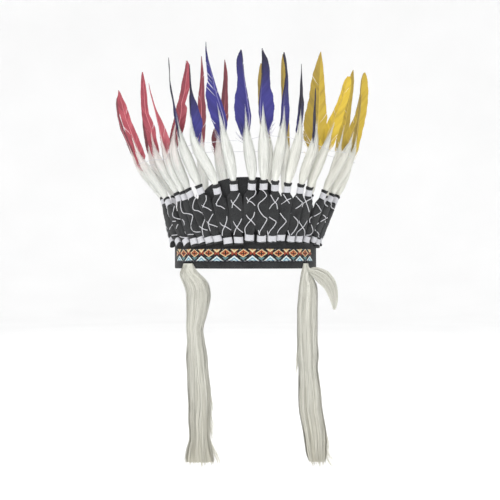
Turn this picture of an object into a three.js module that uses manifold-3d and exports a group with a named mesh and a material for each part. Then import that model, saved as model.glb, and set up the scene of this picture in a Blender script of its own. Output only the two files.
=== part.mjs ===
// A feathered headdress: a round felt headband with a raised brow, felt-wrapped quill stems laced round it,
// a white down fluff and one dyed feather on each stem, a woven trim ribbon and two hanging fur tassels.
// Millimetres. +Z is up, the brow faces -Y, and the origin is the centre of the head opening at the lower rim.
// Angles go round the ring in degrees: 0 is the brow, +90 is the +X side, 180 is the back.

import * as THREE from "three";
import { mergeVertices } from "three/addons/utils/BufferGeometryUtils.js";
import Module from "manifold-3d";

const wasm = await Module();
wasm.setup();

// ---- driving dimensions ----

const GAP = 0.4; // clearance that neighbouring pieces keep

const FELT = 2; // felt thickness of the headband
const BAND_R = 92; // outer radius of the headband at its rim
const FLARE_Z = 36; // height at which the felt starts to lean outwards
const FELT_STEP = 4; // degrees between two sections of the headband

const TRIM_Z = 8; // lower edge of the ribbon
const TRIM_WIDTH = 16;
const TRIM_THICK = 1.2;
const TRIM_LEFT = -70; // the ribbon's two ends
const TRIM_RIGHT = 67;
const TRIM_SLANT = 5; // degrees by which the right end is cut on the slant

const STEM_R = 96; // radius of a stem's centre at its lower wrap
const STEM_Z = 35; // height from which the stems lean
const STEM_WIDE = 11.6;
const STEM_DEEP = 6.6;
const STEM_FOOT = 0.1; // how far a stem runs past its two wraps, as a part of the length between them
const STEM_STEPS = 6;
const LACE = 2.2; // thickness of the lacing that ties each stem to the next

const ROOT_R = 134; // radius at which a feather leaves its fluff at the brow and back
const ROOT_SPREAD = 6; // how much further out it is at the two sides
const TIP_R = 160; // radius of a feather's tip
const FLUFF_WIDE = 12.4; // widest part of a fluff
const VANE_THICK = 1.6; // at the shaft; the vane's edges are thin

// Height of the headband's top edge: the brow rises behind the middle stems, and is cut down past its right end.
const TOP_EDGE = table("deg high", [
  [-180, 62], [-70, 70], [-42, 74], [-35, 80], [-29, 97], [-19, 106], [-6, 111],
  [12, 111], [16, 107], [19, 96], [23, 80], [30, 73], [70, 70], [180, 62],
]);

// One row for each stem with its fluff and feather. Three pairs of columns place it: foot is the lower wrap,
// top the upper wrap, root the foot of the feather and tip its end, each an angle and a height.
// lean moves the tip outwards, wide is the vane's full width, face is the way that its broad side faces, as
// an angle round the ring, and side is +1 or -1 for the side that has the step where the vane narrows. A vane
// is cut stepped, or full where it keeps its width to a round tip.
const PLUMES = table(
  "name        dye      foot footZ top topZ root rootZ tip tipZ lean wide face side cut",
  [
    ["front_01", "red", -63, 33, -88, 85, -91, 134, -90, 208, 3, 13, -60, -1, "full"],
    ["front_02", "red", -51, 33, -68, 83, -77, 138, -81, 229, 0, 16, -15, -1, "stepped"],
    ["front_03", "red", -42, 33, -51, 89, -56, 141, -52, 242, 0, 15, -10, -1, "stepped"],
    ["front_04", "red", -35, 35, -45, 90, -48, 140, -46, 226, 0, 15, -60, 1, "stepped"],
    ["front_05", "red", -28, 35, -39, 93, -39.5, 151, -32, 252, -25, 15, -15, -1, "stepped"],
    ["front_06", "blue", -21, 37, -30, 97, -33.5, 156, -30, 257, 20, 10, 80, 1, "stepped"],
    ["front_07", "blue", -13, 34, -18, 97, -24, 158, -24, 248, 0, 12, -35, -1, "stepped"],
    ["front_08", "blue", -5, 35, -7, 101, -12, 161, -17, 273, 0, 18, -5, 1, "stepped"],
    ["front_09", "blue", 3, 38, 4, 102, -1, 161, -2, 263, 0, 18, 5, 1, "stepped"],
    ["front_10", "blue", 12, 37, 11, 102, 11, 167, 8.5, 265, 0, 17, 5, -1, "stepped"],
    ["front_11", "blue", 20, 37, 18, 101, 21, 166, 17, 261, 0, 14, 45, -1, "stepped"],
    ["front_12", "blue", 27, 38, 26, 99, 30, 162, 26, 250, 0, 14, 50, -1, "stepped"],
    ["front_13", "blue", 36, 37, 35, 98, 39, 156, 33, 222, 0, 12, 78, 1, "stepped"],
    ["front_14", "yellow", 44, 37, 42, 95, 49, 152, 56, 239, 2, 16, 10, 1, "full"],
    ["front_15", "yellow", 53, 36, 56, 92, 68, 149, 67, 214, 0, 13, 20, 1, "stepped"],
    ["front_16", "yellow", 64, 36, 67, 89, 79, 145, 79, 224, -3, 12, 60, 1, "full"],
    ["front_17", "yellow", 73, 32, 82, 87, 90, 142, 81, 251, 2, 14, 15, 1, "full"],
    ["back_01", "red", -80, 34, -102, 84, -105, 138, -102, 214, 2, 14, -70, 1, "stepped"],
    ["back_02", "red", -104, 35, -117, 88, -120, 143, -123, 224, 0, 14, -150, 1, "full"],
    ["back_03", "red", -125, 35, -131, 92, -134, 151, -148, 252, 0, 15, -150, 1, "stepped"],
    ["back_04", "red", -146, 36, -150, 95, -151, 164, -158, 294, 0, 17, -170, 1, "stepped"],
    ["back_05", "red", -165, 36, -166, 96, -166, 166, -169, 288, 0, 14, -150, 1, "stepped"],
    ["back_06", "yellow", 167, 36, 167, 96, 167, 166, 172, 284, 0, 14, 150, 1, "stepped"],
    ["back_07", "yellow", 150, 36, 153, 95, 155, 165, 161, 294, 0, 16, 150, 1, "stepped"],
    ["back_08", "yellow", 129, 35, 133, 92, 136, 162, 139, 294, 0, 24, 175, -1, "stepped"],
    ["back_09", "yellow", 108, 35, 114, 88, 116, 152, 112, 262, 0, 15, 150, 1, "stepped"],
    ["back_10", "yellow", 89, 34, 97, 85, 104, 143, 100, 236, 0, 14, 100, 1, "full"],
  ],
);

// Half widths of a vane on its stepped side and on its other side, as parts of the full width.
const VANES = {
  stepped: table("along step other", [
    [0, 0.16, 0.14],
    [0.07, 0.36, 0.32],
    [0.22, 0.52, 0.46],
    [0.42, 0.51, 0.48],
    [0.52, 0.3, 0.47],
    [0.7, 0.22, 0.4],
    [0.88, 0.14, 0.26],
    [1, 0.04, 0.04],
  ]),
  full: table("along step other", [
    [0, 0.16, 0.14],
    [0.07, 0.34, 0.3],
    [0.25, 0.5, 0.46],
    [0.55, 0.5, 0.48],
    [0.78, 0.42, 0.42],
    [0.93, 0.26, 0.28],
    [1, 0.06, 0.06],
  ]),
};

// Size of a fluff along its length, as parts of its widest width.
const FLUFF = table("along wide deep", [
  [0, 0.72, 0.56],
  [0.15, 0.86, 0.72],
  [0.45, 1, 0.84],
  [0.7, 0.98, 0.8],
  [0.9, 0.74, 0.6],
  [1, 0.4, 0.34],
]);

// A tassel from its sewn end down: drop below the rim, shift towards the +X side, width and depth.
const TASSEL_LEFT = table("drop shift wide deep", [
  [-5.5, 0, 20, 3.2], [-1, 0, 23, 3.4], [4, 0, 25, 10], [10, 3, 29, 16], [17, 9, 34, 20], [29, 13, 32, 22],
  [41, 13, 31, 22], [60, 11, 26, 20], [77, 8, 21, 17], [92, 10, 22, 17], [112, 11, 28, 20], [127, 12, 27, 21],
  [155, 14, 30, 22], [176, 15, 29, 22], [192, 14, 28, 21], [215, 15, 26, 20], [230, 14, 34, 20],
  [243, 15, 40, 18], [249, 15, 38, 12],
]);
const TASSEL_RIGHT = table("drop shift wide deep", [
  [-5.5, 0, 12, 3.2], [-1, 0, 12, 3.4], [5, 0, 13, 8], [12, 1, 16, 12], [20, 3, 23, 18], [31, 3, 25, 20],
  [50, 2, 26, 20], [72, 2, 26, 20], [93, 2, 26, 19], [112, 3, 28, 19], [125, 3, 24, 18], [142, 4, 27, 19],
  [158, 5, 29, 19], [178, 6, 30, 20], [195, 9, 30, 20], [212, 12, 30, 20], [232, 13, 27, 20],
  [243, 14, 24, 18], [249, 16, 19, 12],
]);
const TASSEL_LEFT_AT = -50; // degrees round the ring
const TASSEL_RIGHT_AT = 54;
const TASSEL_R = BAND_R + GAP + 2; // radius at which the fur is sewn on, just under the ribbon
const TASSEL_TURN = 12; // drop over which the flat sewn end turns to face the front

// The strand that stands off the right tassel, from where it is sewn on: out towards +X, drop and width.
const WISP = table("out drop wide", [
  [4, 4, 7], [12, 6, 14], [22, 12, 19], [30, 21, 17], [34, 32, 13], [36, 43, 9], [36, 53, 4],
]);

// ---- small helpers ----

// Turns rows of values into objects with the named columns.
function table(columns, rows) {
  const names = columns.trim().split(/\s+/);
  return rows.map((row) => Object.fromEntries(names.map((name, i) => [name, row[i]])));
}

function sinDeg(deg) {
  return Math.sin(THREE.MathUtils.degToRad(deg));
}

// A point at an angle round the ring, a radius and a height.
function ringPoint(deg, radius, z) {
  const turn = THREE.MathUtils.degToRad(deg);
  return new THREE.Vector3(radius * Math.sin(turn), -radius * Math.cos(turn), z);
}

// Value of a table's column between its rows, straight from one row to the next.
function between(rows, by, at, column) {
  const next = rows.findIndex((row) => row[by] >= at);
  if (next <= 0) return rows[next === 0 ? 0 : rows.length - 1][column];
  const a = rows[next - 1];
  const b = rows[next];
  return THREE.MathUtils.mapLinear(at, a[by], b[by], a[column], b[column]);
}

// Skins rings of points that all have the same count. An open run gets a flat cap at each end.
function loft(rings, closed = false) {
  const count = rings[0].length;
  const corners = [];
  let volume = 0; // six times what the skin encloses, and negative where its faces point inwards
  const triangle = (a, b, c) => {
    [a, b, c].forEach((p) => corners.push(p.x, p.y, p.z));
    volume += a.dot(new THREE.Vector3().crossVectors(b, c));
  };
  const last = closed ? rings.length : rings.length - 1;
  for (let i = 0; i < last; i += 1) {
    const a = rings[i];
    const b = rings[(i + 1) % rings.length];
    for (let k = 0; k < count; k += 1) {
      const n = (k + 1) % count;
      triangle(a[k], a[n], b[n]);
      triangle(a[k], b[n], b[k]);
    }
  }
  if (!closed) {
    const first = rings[0];
    const end = rings[rings.length - 1];
    for (let k = 1; k < count - 1; k += 1) {
      triangle(first[0], first[k + 1], first[k]);
      triangle(end[0], end[k], end[k + 1]);
    }
  }
  if (volume < 0) return loft(rings.map((ring) => ring.toReversed()), closed);
  const geometry = new THREE.BufferGeometry();
  geometry.setAttribute("position", new THREE.Float32BufferAttribute(corners, 3));
  geometry.computeVertexNormals();
  return geometry;
}

// A ring of points round a centre, on an ellipse across the two given directions.
function oval(centre, across, through, wide, deep, sides) {
  return Array.from({ length: sides }, (_, k) => {
    const turn = (2 * Math.PI * k) / sides;
    return centre
      .clone()
      .addScaledVector(across, (wide / 2) * Math.cos(turn))
      .addScaledVector(through, (deep / 2) * Math.sin(turn));
  });
}

// The two directions square to a run: across it, and through it towards the way that it faces.
function crossAxes(along, facing) {
  const across = new THREE.Vector3().crossVectors(facing, along).normalize();
  const through = new THREE.Vector3().crossVectors(along, across).normalize();
  return { across, through };
}

function solidFrom(geometry) {
  const bare = geometry.clone();
  bare.deleteAttribute("normal");
  const merged = mergeVertices(bare, 1e-3);
  return new wasm.Manifold(
    new wasm.Mesh({
      numProp: 3,
      vertProperties: merged.attributes.position.array,
      triVerts: new Uint32Array(merged.index.array),
    }),
  );
}

// Joins closed geometries into one.
function joined(geometries) {
  const mesh = geometries.map(solidFrom).reduce((a, b) => a.add(b)).getMesh();
  const geometry = new THREE.BufferGeometry();
  geometry.setAttribute("position", new THREE.BufferAttribute(new Float32Array(mesh.vertProperties), 3));
  geometry.setIndex(new THREE.BufferAttribute(new Uint32Array(mesh.triVerts), 1));
  geometry.computeVertexNormals();
  return geometry;
}

// ---- the run of one plume ----

// How far out a stem leans for each millimetre that it rises: least on the left, most on the right.
function stemLean(deg) {
  return 0.31 + 0.1 * sinDeg(deg);
}

function stemRadius(deg, z) {
  return STEM_R + stemLean(deg) * Math.max(0, z - STEM_Z);
}

// A point on a stem's centre line: part 0 is its lower wrap and part 1 its upper wrap.
function stemPoint(plume, part) {
  const deg = THREE.MathUtils.lerp(plume.foot, plume.top, part);
  const z = THREE.MathUtils.lerp(plume.footZ, plume.topZ, part);
  return ringPoint(deg, stemRadius(deg, z), z);
}

function stemDirection(plume, part) {
  return stemPoint(plume, part + 0.05).sub(stemPoint(plume, part - 0.05)).normalize();
}

// The four knots that a plume's centre line passes, from the stem's lower end to the feather's tip.
function plumeKnots(plume) {
  const rootR = ROOT_R + ROOT_SPREAD * sinDeg(plume.root) ** 2;
  const tipR = TIP_R - 5 * sinDeg(plume.tip) + plume.lean;
  return [
    stemPoint(plume, -STEM_FOOT),
    stemPoint(plume, 1 + STEM_FOOT),
    ringPoint(plume.root, rootR, plume.rootZ),
    ringPoint(plume.tip, tipR, plume.tipZ),
  ];
}

// The smooth line through the knots; the fluff takes its second stretch and the feather its third.
function plumeLine(plume) {
  return new THREE.CatmullRomCurve3(plumeKnots(plume), false, "catmullrom", 0.5);
}

// ---- the pieces ----

function feltHeadband() {
  const rings = [];
  for (let deg = -180; deg < 180; deg += FELT_STEP) {
    const high = between(TOP_EDGE, "deg", deg, "high");
    const lean = stemLean(deg);
    const outer = (z) => BAND_R + lean * Math.max(0, z - FLARE_Z);
    const inner = (z) => outer(z) - FELT;
    rings.push([
      ringPoint(deg, inner(0), 0),
      ringPoint(deg, outer(0), 0),
      ringPoint(deg, outer(FLARE_Z), FLARE_Z),
      ringPoint(deg, outer(high), high),
      ringPoint(deg, inner(high), high),
      ringPoint(deg, inner(FLARE_Z), FLARE_Z),
    ]);
  }
  return loft(rings, true);
}

function trimRibbon() {
  const inner = BAND_R + GAP;
  const outer = inner + TRIM_THICK;
  const steps = Math.round((TRIM_RIGHT - TRIM_LEFT) / 4);
  const rings = Array.from({ length: steps + 1 }, (_, i) => {
    const low = THREE.MathUtils.lerp(TRIM_LEFT, TRIM_RIGHT, i / steps);
    const high = low - (TRIM_SLANT * i) / steps;
    return [
      ringPoint(low, inner, TRIM_Z),
      ringPoint(low, outer, TRIM_Z),
      ringPoint(high, outer, TRIM_Z + TRIM_WIDTH),
      ringPoint(high, inner, TRIM_Z + TRIM_WIDTH),
    ];
  });
  return loft(rings);
}

// One felt stem round its quill, a flattened tube that leans out with the band behind it.
function stem(plume) {
  const rings = Array.from({ length: STEM_STEPS + 1 }, (_, i) => {
    const part = THREE.MathUtils.lerp(-STEM_FOOT, 1 + STEM_FOOT, i / STEM_STEPS);
    const centre = stemPoint(plume, part);
    const along = stemDirection(plume, part);
    const { across, through } = crossAxes(along, new THREE.Vector3(centre.x, centre.y, 0));
    return oval(centre, across, through, STEM_WIDE, STEM_DEEP, 8);
  });
  return loft(rings);
}

// The bundle of lacing thread that runs from one stem to the next, round the outside of the felt.
function lacing(from, to, part) {
  const start = THREE.MathUtils.lerp(from.foot, from.top, part);
  const end = THREE.MathUtils.lerp(to.foot, to.top, part);
  const turn = THREE.MathUtils.euclideanModulo(end - start + 180, 360) - 180;
  const steps = Math.ceil(Math.abs(turn) / 8);
  const rings = Array.from({ length: steps + 1 }, (_, i) => {
    const deg = start + (turn * i) / steps;
    const z = THREE.MathUtils.lerp(stemPoint(from, part).z, stemPoint(to, part).z, i / steps);
    const centre = ringPoint(deg, stemRadius(deg, z), z);
    const outwards = ringPoint(deg, 1, 0);
    return oval(centre, outwards, new THREE.Vector3(0, 0, 1), LACE, LACE, 6);
  });
  return loft(rings);
}

// Stems side by side, tied to each other by the lacing.
function stemRow(plumes) {
  const ties = plumes.slice(1).map((plume, i) => lacing(plumes[i], plume, 0.35));
  return joined([...plumes.map(stem), ...ties]);
}

function fluff(plume) {
  const line = plumeLine(plume);
  const rings = FLUFF.map(({ along, wide, deep }) => {
    const share = THREE.MathUtils.lerp(1 / 3, 2 / 3, along);
    const centre = line.getPoint(share);
    const direction = along === 0 ? stemDirection(plume, 1 + STEM_FOOT) : line.getTangent(share);
    if (along === 0) centre.addScaledVector(direction, GAP);
    const { across, through } = crossAxes(direction, new THREE.Vector3(centre.x, centre.y, 0));
    return oval(centre, across, through, wide * FLUFF_WIDE, deep * FLUFF_WIDE, 8);
  });
  return loft(rings);
}

function feather(plume) {
  const line = plumeLine(plume);
  const rings = VANES[plume.cut].map(({ along, step, other }) => {
    const share = THREE.MathUtils.lerp(2 / 3, 1, along);
    const centre = line.getPoint(share);
    const direction = line.getTangent(share);
    if (along === 0) centre.addScaledVector(direction, GAP);
    const { across, through } = crossAxes(direction, ringPoint(plume.face, 1, 0));
    const [plus, minus] = plume.side > 0 ? [step, other] : [other, step];
    const thick = VANE_THICK * (1 - 0.6 * along);
    return [
      centre.clone().addScaledVector(across, plus * plume.wide),
      centre.clone().addScaledVector(through, thick / 2),
      centre.clone().addScaledVector(across, -minus * plume.wide),
      centre.clone().addScaledVector(through, -thick / 2),
    ];
  });
  return loft(rings);
}

// Lies flat against the felt where it is sewn on, and hangs facing the front below the rim.
function tassel(rows, deg) {
  const foot = ringPoint(deg, TASSEL_R, 0);
  const rings = rows.map(({ drop, shift, wide, deep }) => {
    const flat = 1 - THREE.MathUtils.clamp(drop / TASSEL_TURN, 0, 1);
    const outwards = ringPoint(deg * flat, 1, 0);
    const across = ringPoint(deg * flat + 90, 1, 0);
    const centre = foot.clone().add(new THREE.Vector3(shift, 0, -drop));
    return oval(centre, across, outwards, wide, deep, 12);
  });
  return loft(rings);
}

function wisp(deg) {
  const foot = ringPoint(deg, TASSEL_R, 0);
  const spots = WISP.map(({ out, drop }) => foot.clone().add(new THREE.Vector3(out, 0, -drop)));
  const line = new THREE.CatmullRomCurve3(spots);
  const deepwards = new THREE.Vector3(0, 1, 0);
  const rings = WISP.map(({ wide }, i) => {
    const direction = line.getTangent(i / (WISP.length - 1));
    const across = new THREE.Vector3().crossVectors(direction, deepwards).normalize();
    return oval(spots[i], across, deepwards, wide, wide * 0.4, 8);
  });
  return loft(rings);
}

// ---- the assembly ----

function finish(color, roughness) {
  return new THREE.MeshStandardMaterial({ color, roughness, metalness: 0 });
}

const COLOURS = {
  felt: finish(0x2d2d30, 0.95),
  ribbon: finish(0xb0703c, 0.8),
  fur: finish(0xdedecf, 0.85),
  down: finish(0xe8ebe4, 0.9),
  red: finish(0xb94655, 0.6),
  blue: finish(0x4b46a0, 0.6),
  yellow: finish(0xe0be46, 0.6),
};

const headdress = new THREE.Group();

function add(name, geometry, material) {
  const mesh = new THREE.Mesh(geometry, material);
  mesh.name = name;
  headdress.add(mesh);
}

add("headband_felt", feltHeadband(), COLOURS.felt);
add("trim_ribbon", trimRibbon(), COLOURS.ribbon);
add("stems_front", stemRow(PLUMES.filter((p) => p.name.startsWith("front"))), COLOURS.felt);
add("stems_back", stemRow(PLUMES.filter((p) => p.name.startsWith("back"))), COLOURS.felt);
for (const plume of PLUMES) {
  add("down_" + plume.name, fluff(plume), COLOURS.down);
  add("feather_" + plume.name, feather(plume), COLOURS[plume.dye]);
}
add("tassel_left", tassel(TASSEL_LEFT, TASSEL_LEFT_AT), COLOURS.fur);
add("tassel_right", joined([tassel(TASSEL_RIGHT, TASSEL_RIGHT_AT), wisp(TASSEL_RIGHT_AT)]), COLOURS.fur);

export default headdress;
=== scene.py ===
"""The finish of a feathered headdress: felt headband, felt-wrapped quill stems bound and laced with white
thread, a white down fluff and a dyed feather on each stem, a woven trim ribbon and two hanging fur tassels.

Lengths in the tables are millimetres. Angles go round the ring in degrees: 0 is the brow (-Y), +90 is +X.
"""
import math

import bpy
import numpy as np
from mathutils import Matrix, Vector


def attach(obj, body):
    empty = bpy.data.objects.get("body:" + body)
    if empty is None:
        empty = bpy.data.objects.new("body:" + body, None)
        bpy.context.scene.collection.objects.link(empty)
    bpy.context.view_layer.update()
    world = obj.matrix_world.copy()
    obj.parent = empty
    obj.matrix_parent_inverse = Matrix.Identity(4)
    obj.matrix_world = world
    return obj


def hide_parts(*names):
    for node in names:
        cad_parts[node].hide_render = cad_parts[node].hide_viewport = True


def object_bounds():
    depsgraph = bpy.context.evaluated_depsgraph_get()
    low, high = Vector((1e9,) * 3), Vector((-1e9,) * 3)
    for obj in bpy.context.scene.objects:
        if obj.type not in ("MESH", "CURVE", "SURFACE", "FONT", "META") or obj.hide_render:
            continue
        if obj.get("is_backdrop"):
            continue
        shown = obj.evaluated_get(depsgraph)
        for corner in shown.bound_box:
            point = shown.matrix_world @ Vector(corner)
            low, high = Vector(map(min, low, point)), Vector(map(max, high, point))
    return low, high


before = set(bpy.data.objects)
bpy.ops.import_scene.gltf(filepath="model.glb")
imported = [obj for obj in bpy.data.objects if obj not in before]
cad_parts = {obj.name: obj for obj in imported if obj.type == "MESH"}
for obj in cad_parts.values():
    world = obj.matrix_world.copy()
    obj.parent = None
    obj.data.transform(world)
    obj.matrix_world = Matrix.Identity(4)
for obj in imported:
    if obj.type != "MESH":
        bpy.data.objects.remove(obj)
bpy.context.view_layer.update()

MM = 0.001

# ---- sizes and tables, as the construction has them ----

FELT = 2.0
BAND_R = 92.0
BAND_STEP = 1.5  # degrees from one column of the felt to the next
FLARE_Z = 36.0
GAP = 0.4

TRIM_Z = 8.0
TRIM_WIDTH = 16.0
TRIM_THICK = 1.1
TRIM_LEFT = -70.0
TRIM_RIGHT = 67.0
TRIM_SLANT = 5.0
TRIM_REPEAT = 13.9  # degrees of the ring that one repeat of the woven motif takes
TRIM_START = -1.5  # where the middle diamond stands

STEM_R = 96.0
STEM_Z = 35.0
SLIM_STEMS = ("front_01", "front_04")
SPLIT_VANE = "front_08"  # the vane whose barbs have parted most
STEM_FOOT = 0.1  # how far a stem runs past its two wraps
THREAD = 1.0  # thickness of the white thread
LACE_R = 0.52  # radius of the lacing thread
SPACER_R = 0.35
STITCH_R = 0.16

ROOT_R = 134.0
ROOT_SPREAD = 6.0
TIP_R = 160.0
FLUFF_WIDE = 14.6
EDGE_ON = 0.3  # a vane shows at least this share of its width, however it faces


def table(columns, *rows):
    """Rows of values as dictionaries with the named columns."""
    names = columns.split()
    return [dict(zip(names, row)) for row in rows]


TOP_EDGE = table(
    "deg high",
    (-180, 62), (-70, 70), (-42, 74), (-35, 80), (-29, 97), (-19, 106), (-6, 111),
    (12, 111), (16, 107), (19, 96), (23, 80), (30, 73), (70, 70), (180, 62),
)

# foot, top, root and tip are the four places that a plume passes, each an angle and a height. lean moves the
# tip outwards, wide is the vane's full width and face is the way that it faces. left and right are how light
# the
# -X and the +X half of the vane is painted: partly the dye's own depth and partly painted shade, on the half
# turned from the lamps and on the far-side feathers in shadow. dark is how much from the tip down is
# darkened.
PLUMES = table(
    "name foot footZ top topZ root rootZ tip tipZ lean wide face dye left right dark",
    ("front_01", -63, 33, -88, 85, -91, 134, -90, 208, 3, 13, -60, "red", 0.4, 0.5, 0.3),
    ("front_02", -51, 33, -68, 83, -77, 138, -81, 229, 0, 16, -15, "red", 1, 1.02, 0.1),
    ("front_03", -42, 33, -51, 89, -56, 141, -52, 242, 0, 15, -10, "red", 0.9, 1.1, 0.1),
    ("front_04", -35, 35, -45, 90, -48, 140, -46, 226, 0, 15, -60, "red", 0.85, 1.0, 0.1),
    ("front_05", -28, 35, -39, 93, -39.5, 151, -32, 252, -25, 15, -15, "red", 0.7, 0.95, 0.1),
    ("front_06", -21, 37, -30, 97, -33.5, 156, -30, 257, 20, 10, 80, "blue", 0.5, 0.6, 0.7),
    ("front_07", -13, 34, -18, 97, -24, 158, -24, 248, 0, 12, -35, "blue", 0.85, 0.95, 0.75),
    ("front_08", -5, 35, -7, 101, -12, 161, -17, 273, 0, 18, -5, "blue", 1.05, 0.95, 0.3),
    ("front_09", 3, 38, 4, 102, -1, 161, -2, 263, 0, 18, 5, "blue", 0.9, 0.75, 0.3),
    ("front_10", 12, 37, 11, 102, 11, 167, 8.5, 265, 0, 17, 5, "blue", 0.7, 0.95, 0.55),
    ("front_11", 20, 37, 18, 101, 21, 166, 17, 261, 0, 14, 45, "blue", 0.7, 1.0, 0.65),
    ("front_12", 27, 38, 26, 99, 30, 162, 26, 250, 0, 14, 50, "blue", 0.7, 0.8, 0.9),
    ("front_13", 36, 37, 35, 98, 39, 156, 33, 222, 0, 12, 78, "blue", 0.5, 0.6, 0.95),
    ("front_14", 44, 37, 42, 95, 49, 152, 56, 239, 2, 16, 10, "yellow", 1.1, 0.95, 0.0),
    ("front_15", 53, 36, 56, 92, 68, 149, 67, 214, 0, 13, 20, "yellow", 0.75, 0.65, 0.2),
    ("front_16", 64, 36, 67, 89, 79, 145, 79, 224, -3, 12, 60, "yellow", 0.55, 0.55, 0.3),
    ("front_17", 73, 32, 82, 87, 90, 142, 81, 251, 2, 14, 15, "yellow", 0.65, 0.86, 0.15),
    ("back_01", -80, 34, -102, 84, -105, 138, -102, 214, 2, 14, -70, "red", 0.5, 0.5, 0.3),
    ("back_02", -104, 35, -117, 88, -120, 143, -123, 224, 0, 14, -150, "red", 0.5, 0.55, 0.3),
    ("back_03", -125, 35, -131, 92, -134, 151, -148, 252, 0, 15, -150, "red", 0.5, 0.5, 0.3),
    ("back_04", -146, 36, -150, 95, -151, 164, -158, 294, 0, 17, -170, "red", 0.62, 0.55, 0.3),
    ("back_05", -165, 36, -166, 96, -166, 166, -169, 288, 0, 14, -150, "red", 0.4, 0.5, 0.3),
    ("back_06", 167, 36, 167, 96, 167, 166, 172, 284, 0, 14, 150, "yellow", 0.5, 0.4, 0.3),
    ("back_07", 150, 36, 153, 95, 155, 165, 161, 294, 0, 16, 150, "yellow", 0.5, 0.62, 0.3),
    ("back_08", 129, 35, 133, 92, 136, 162, 139, 294, 0, 24, 175, "yellow", 0.68, 0.86, 0.3),
    ("back_09", 108, 35, 114, 88, 116, 152, 112, 262, 0, 15, 150, "yellow", 0.8, 0.7, 0.3),
    ("back_10", 89, 34, 97, 85, 104, 143, 100, 236, 0, 14, 100, "yellow", 0.6, 0.6, 0.3),
)

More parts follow.
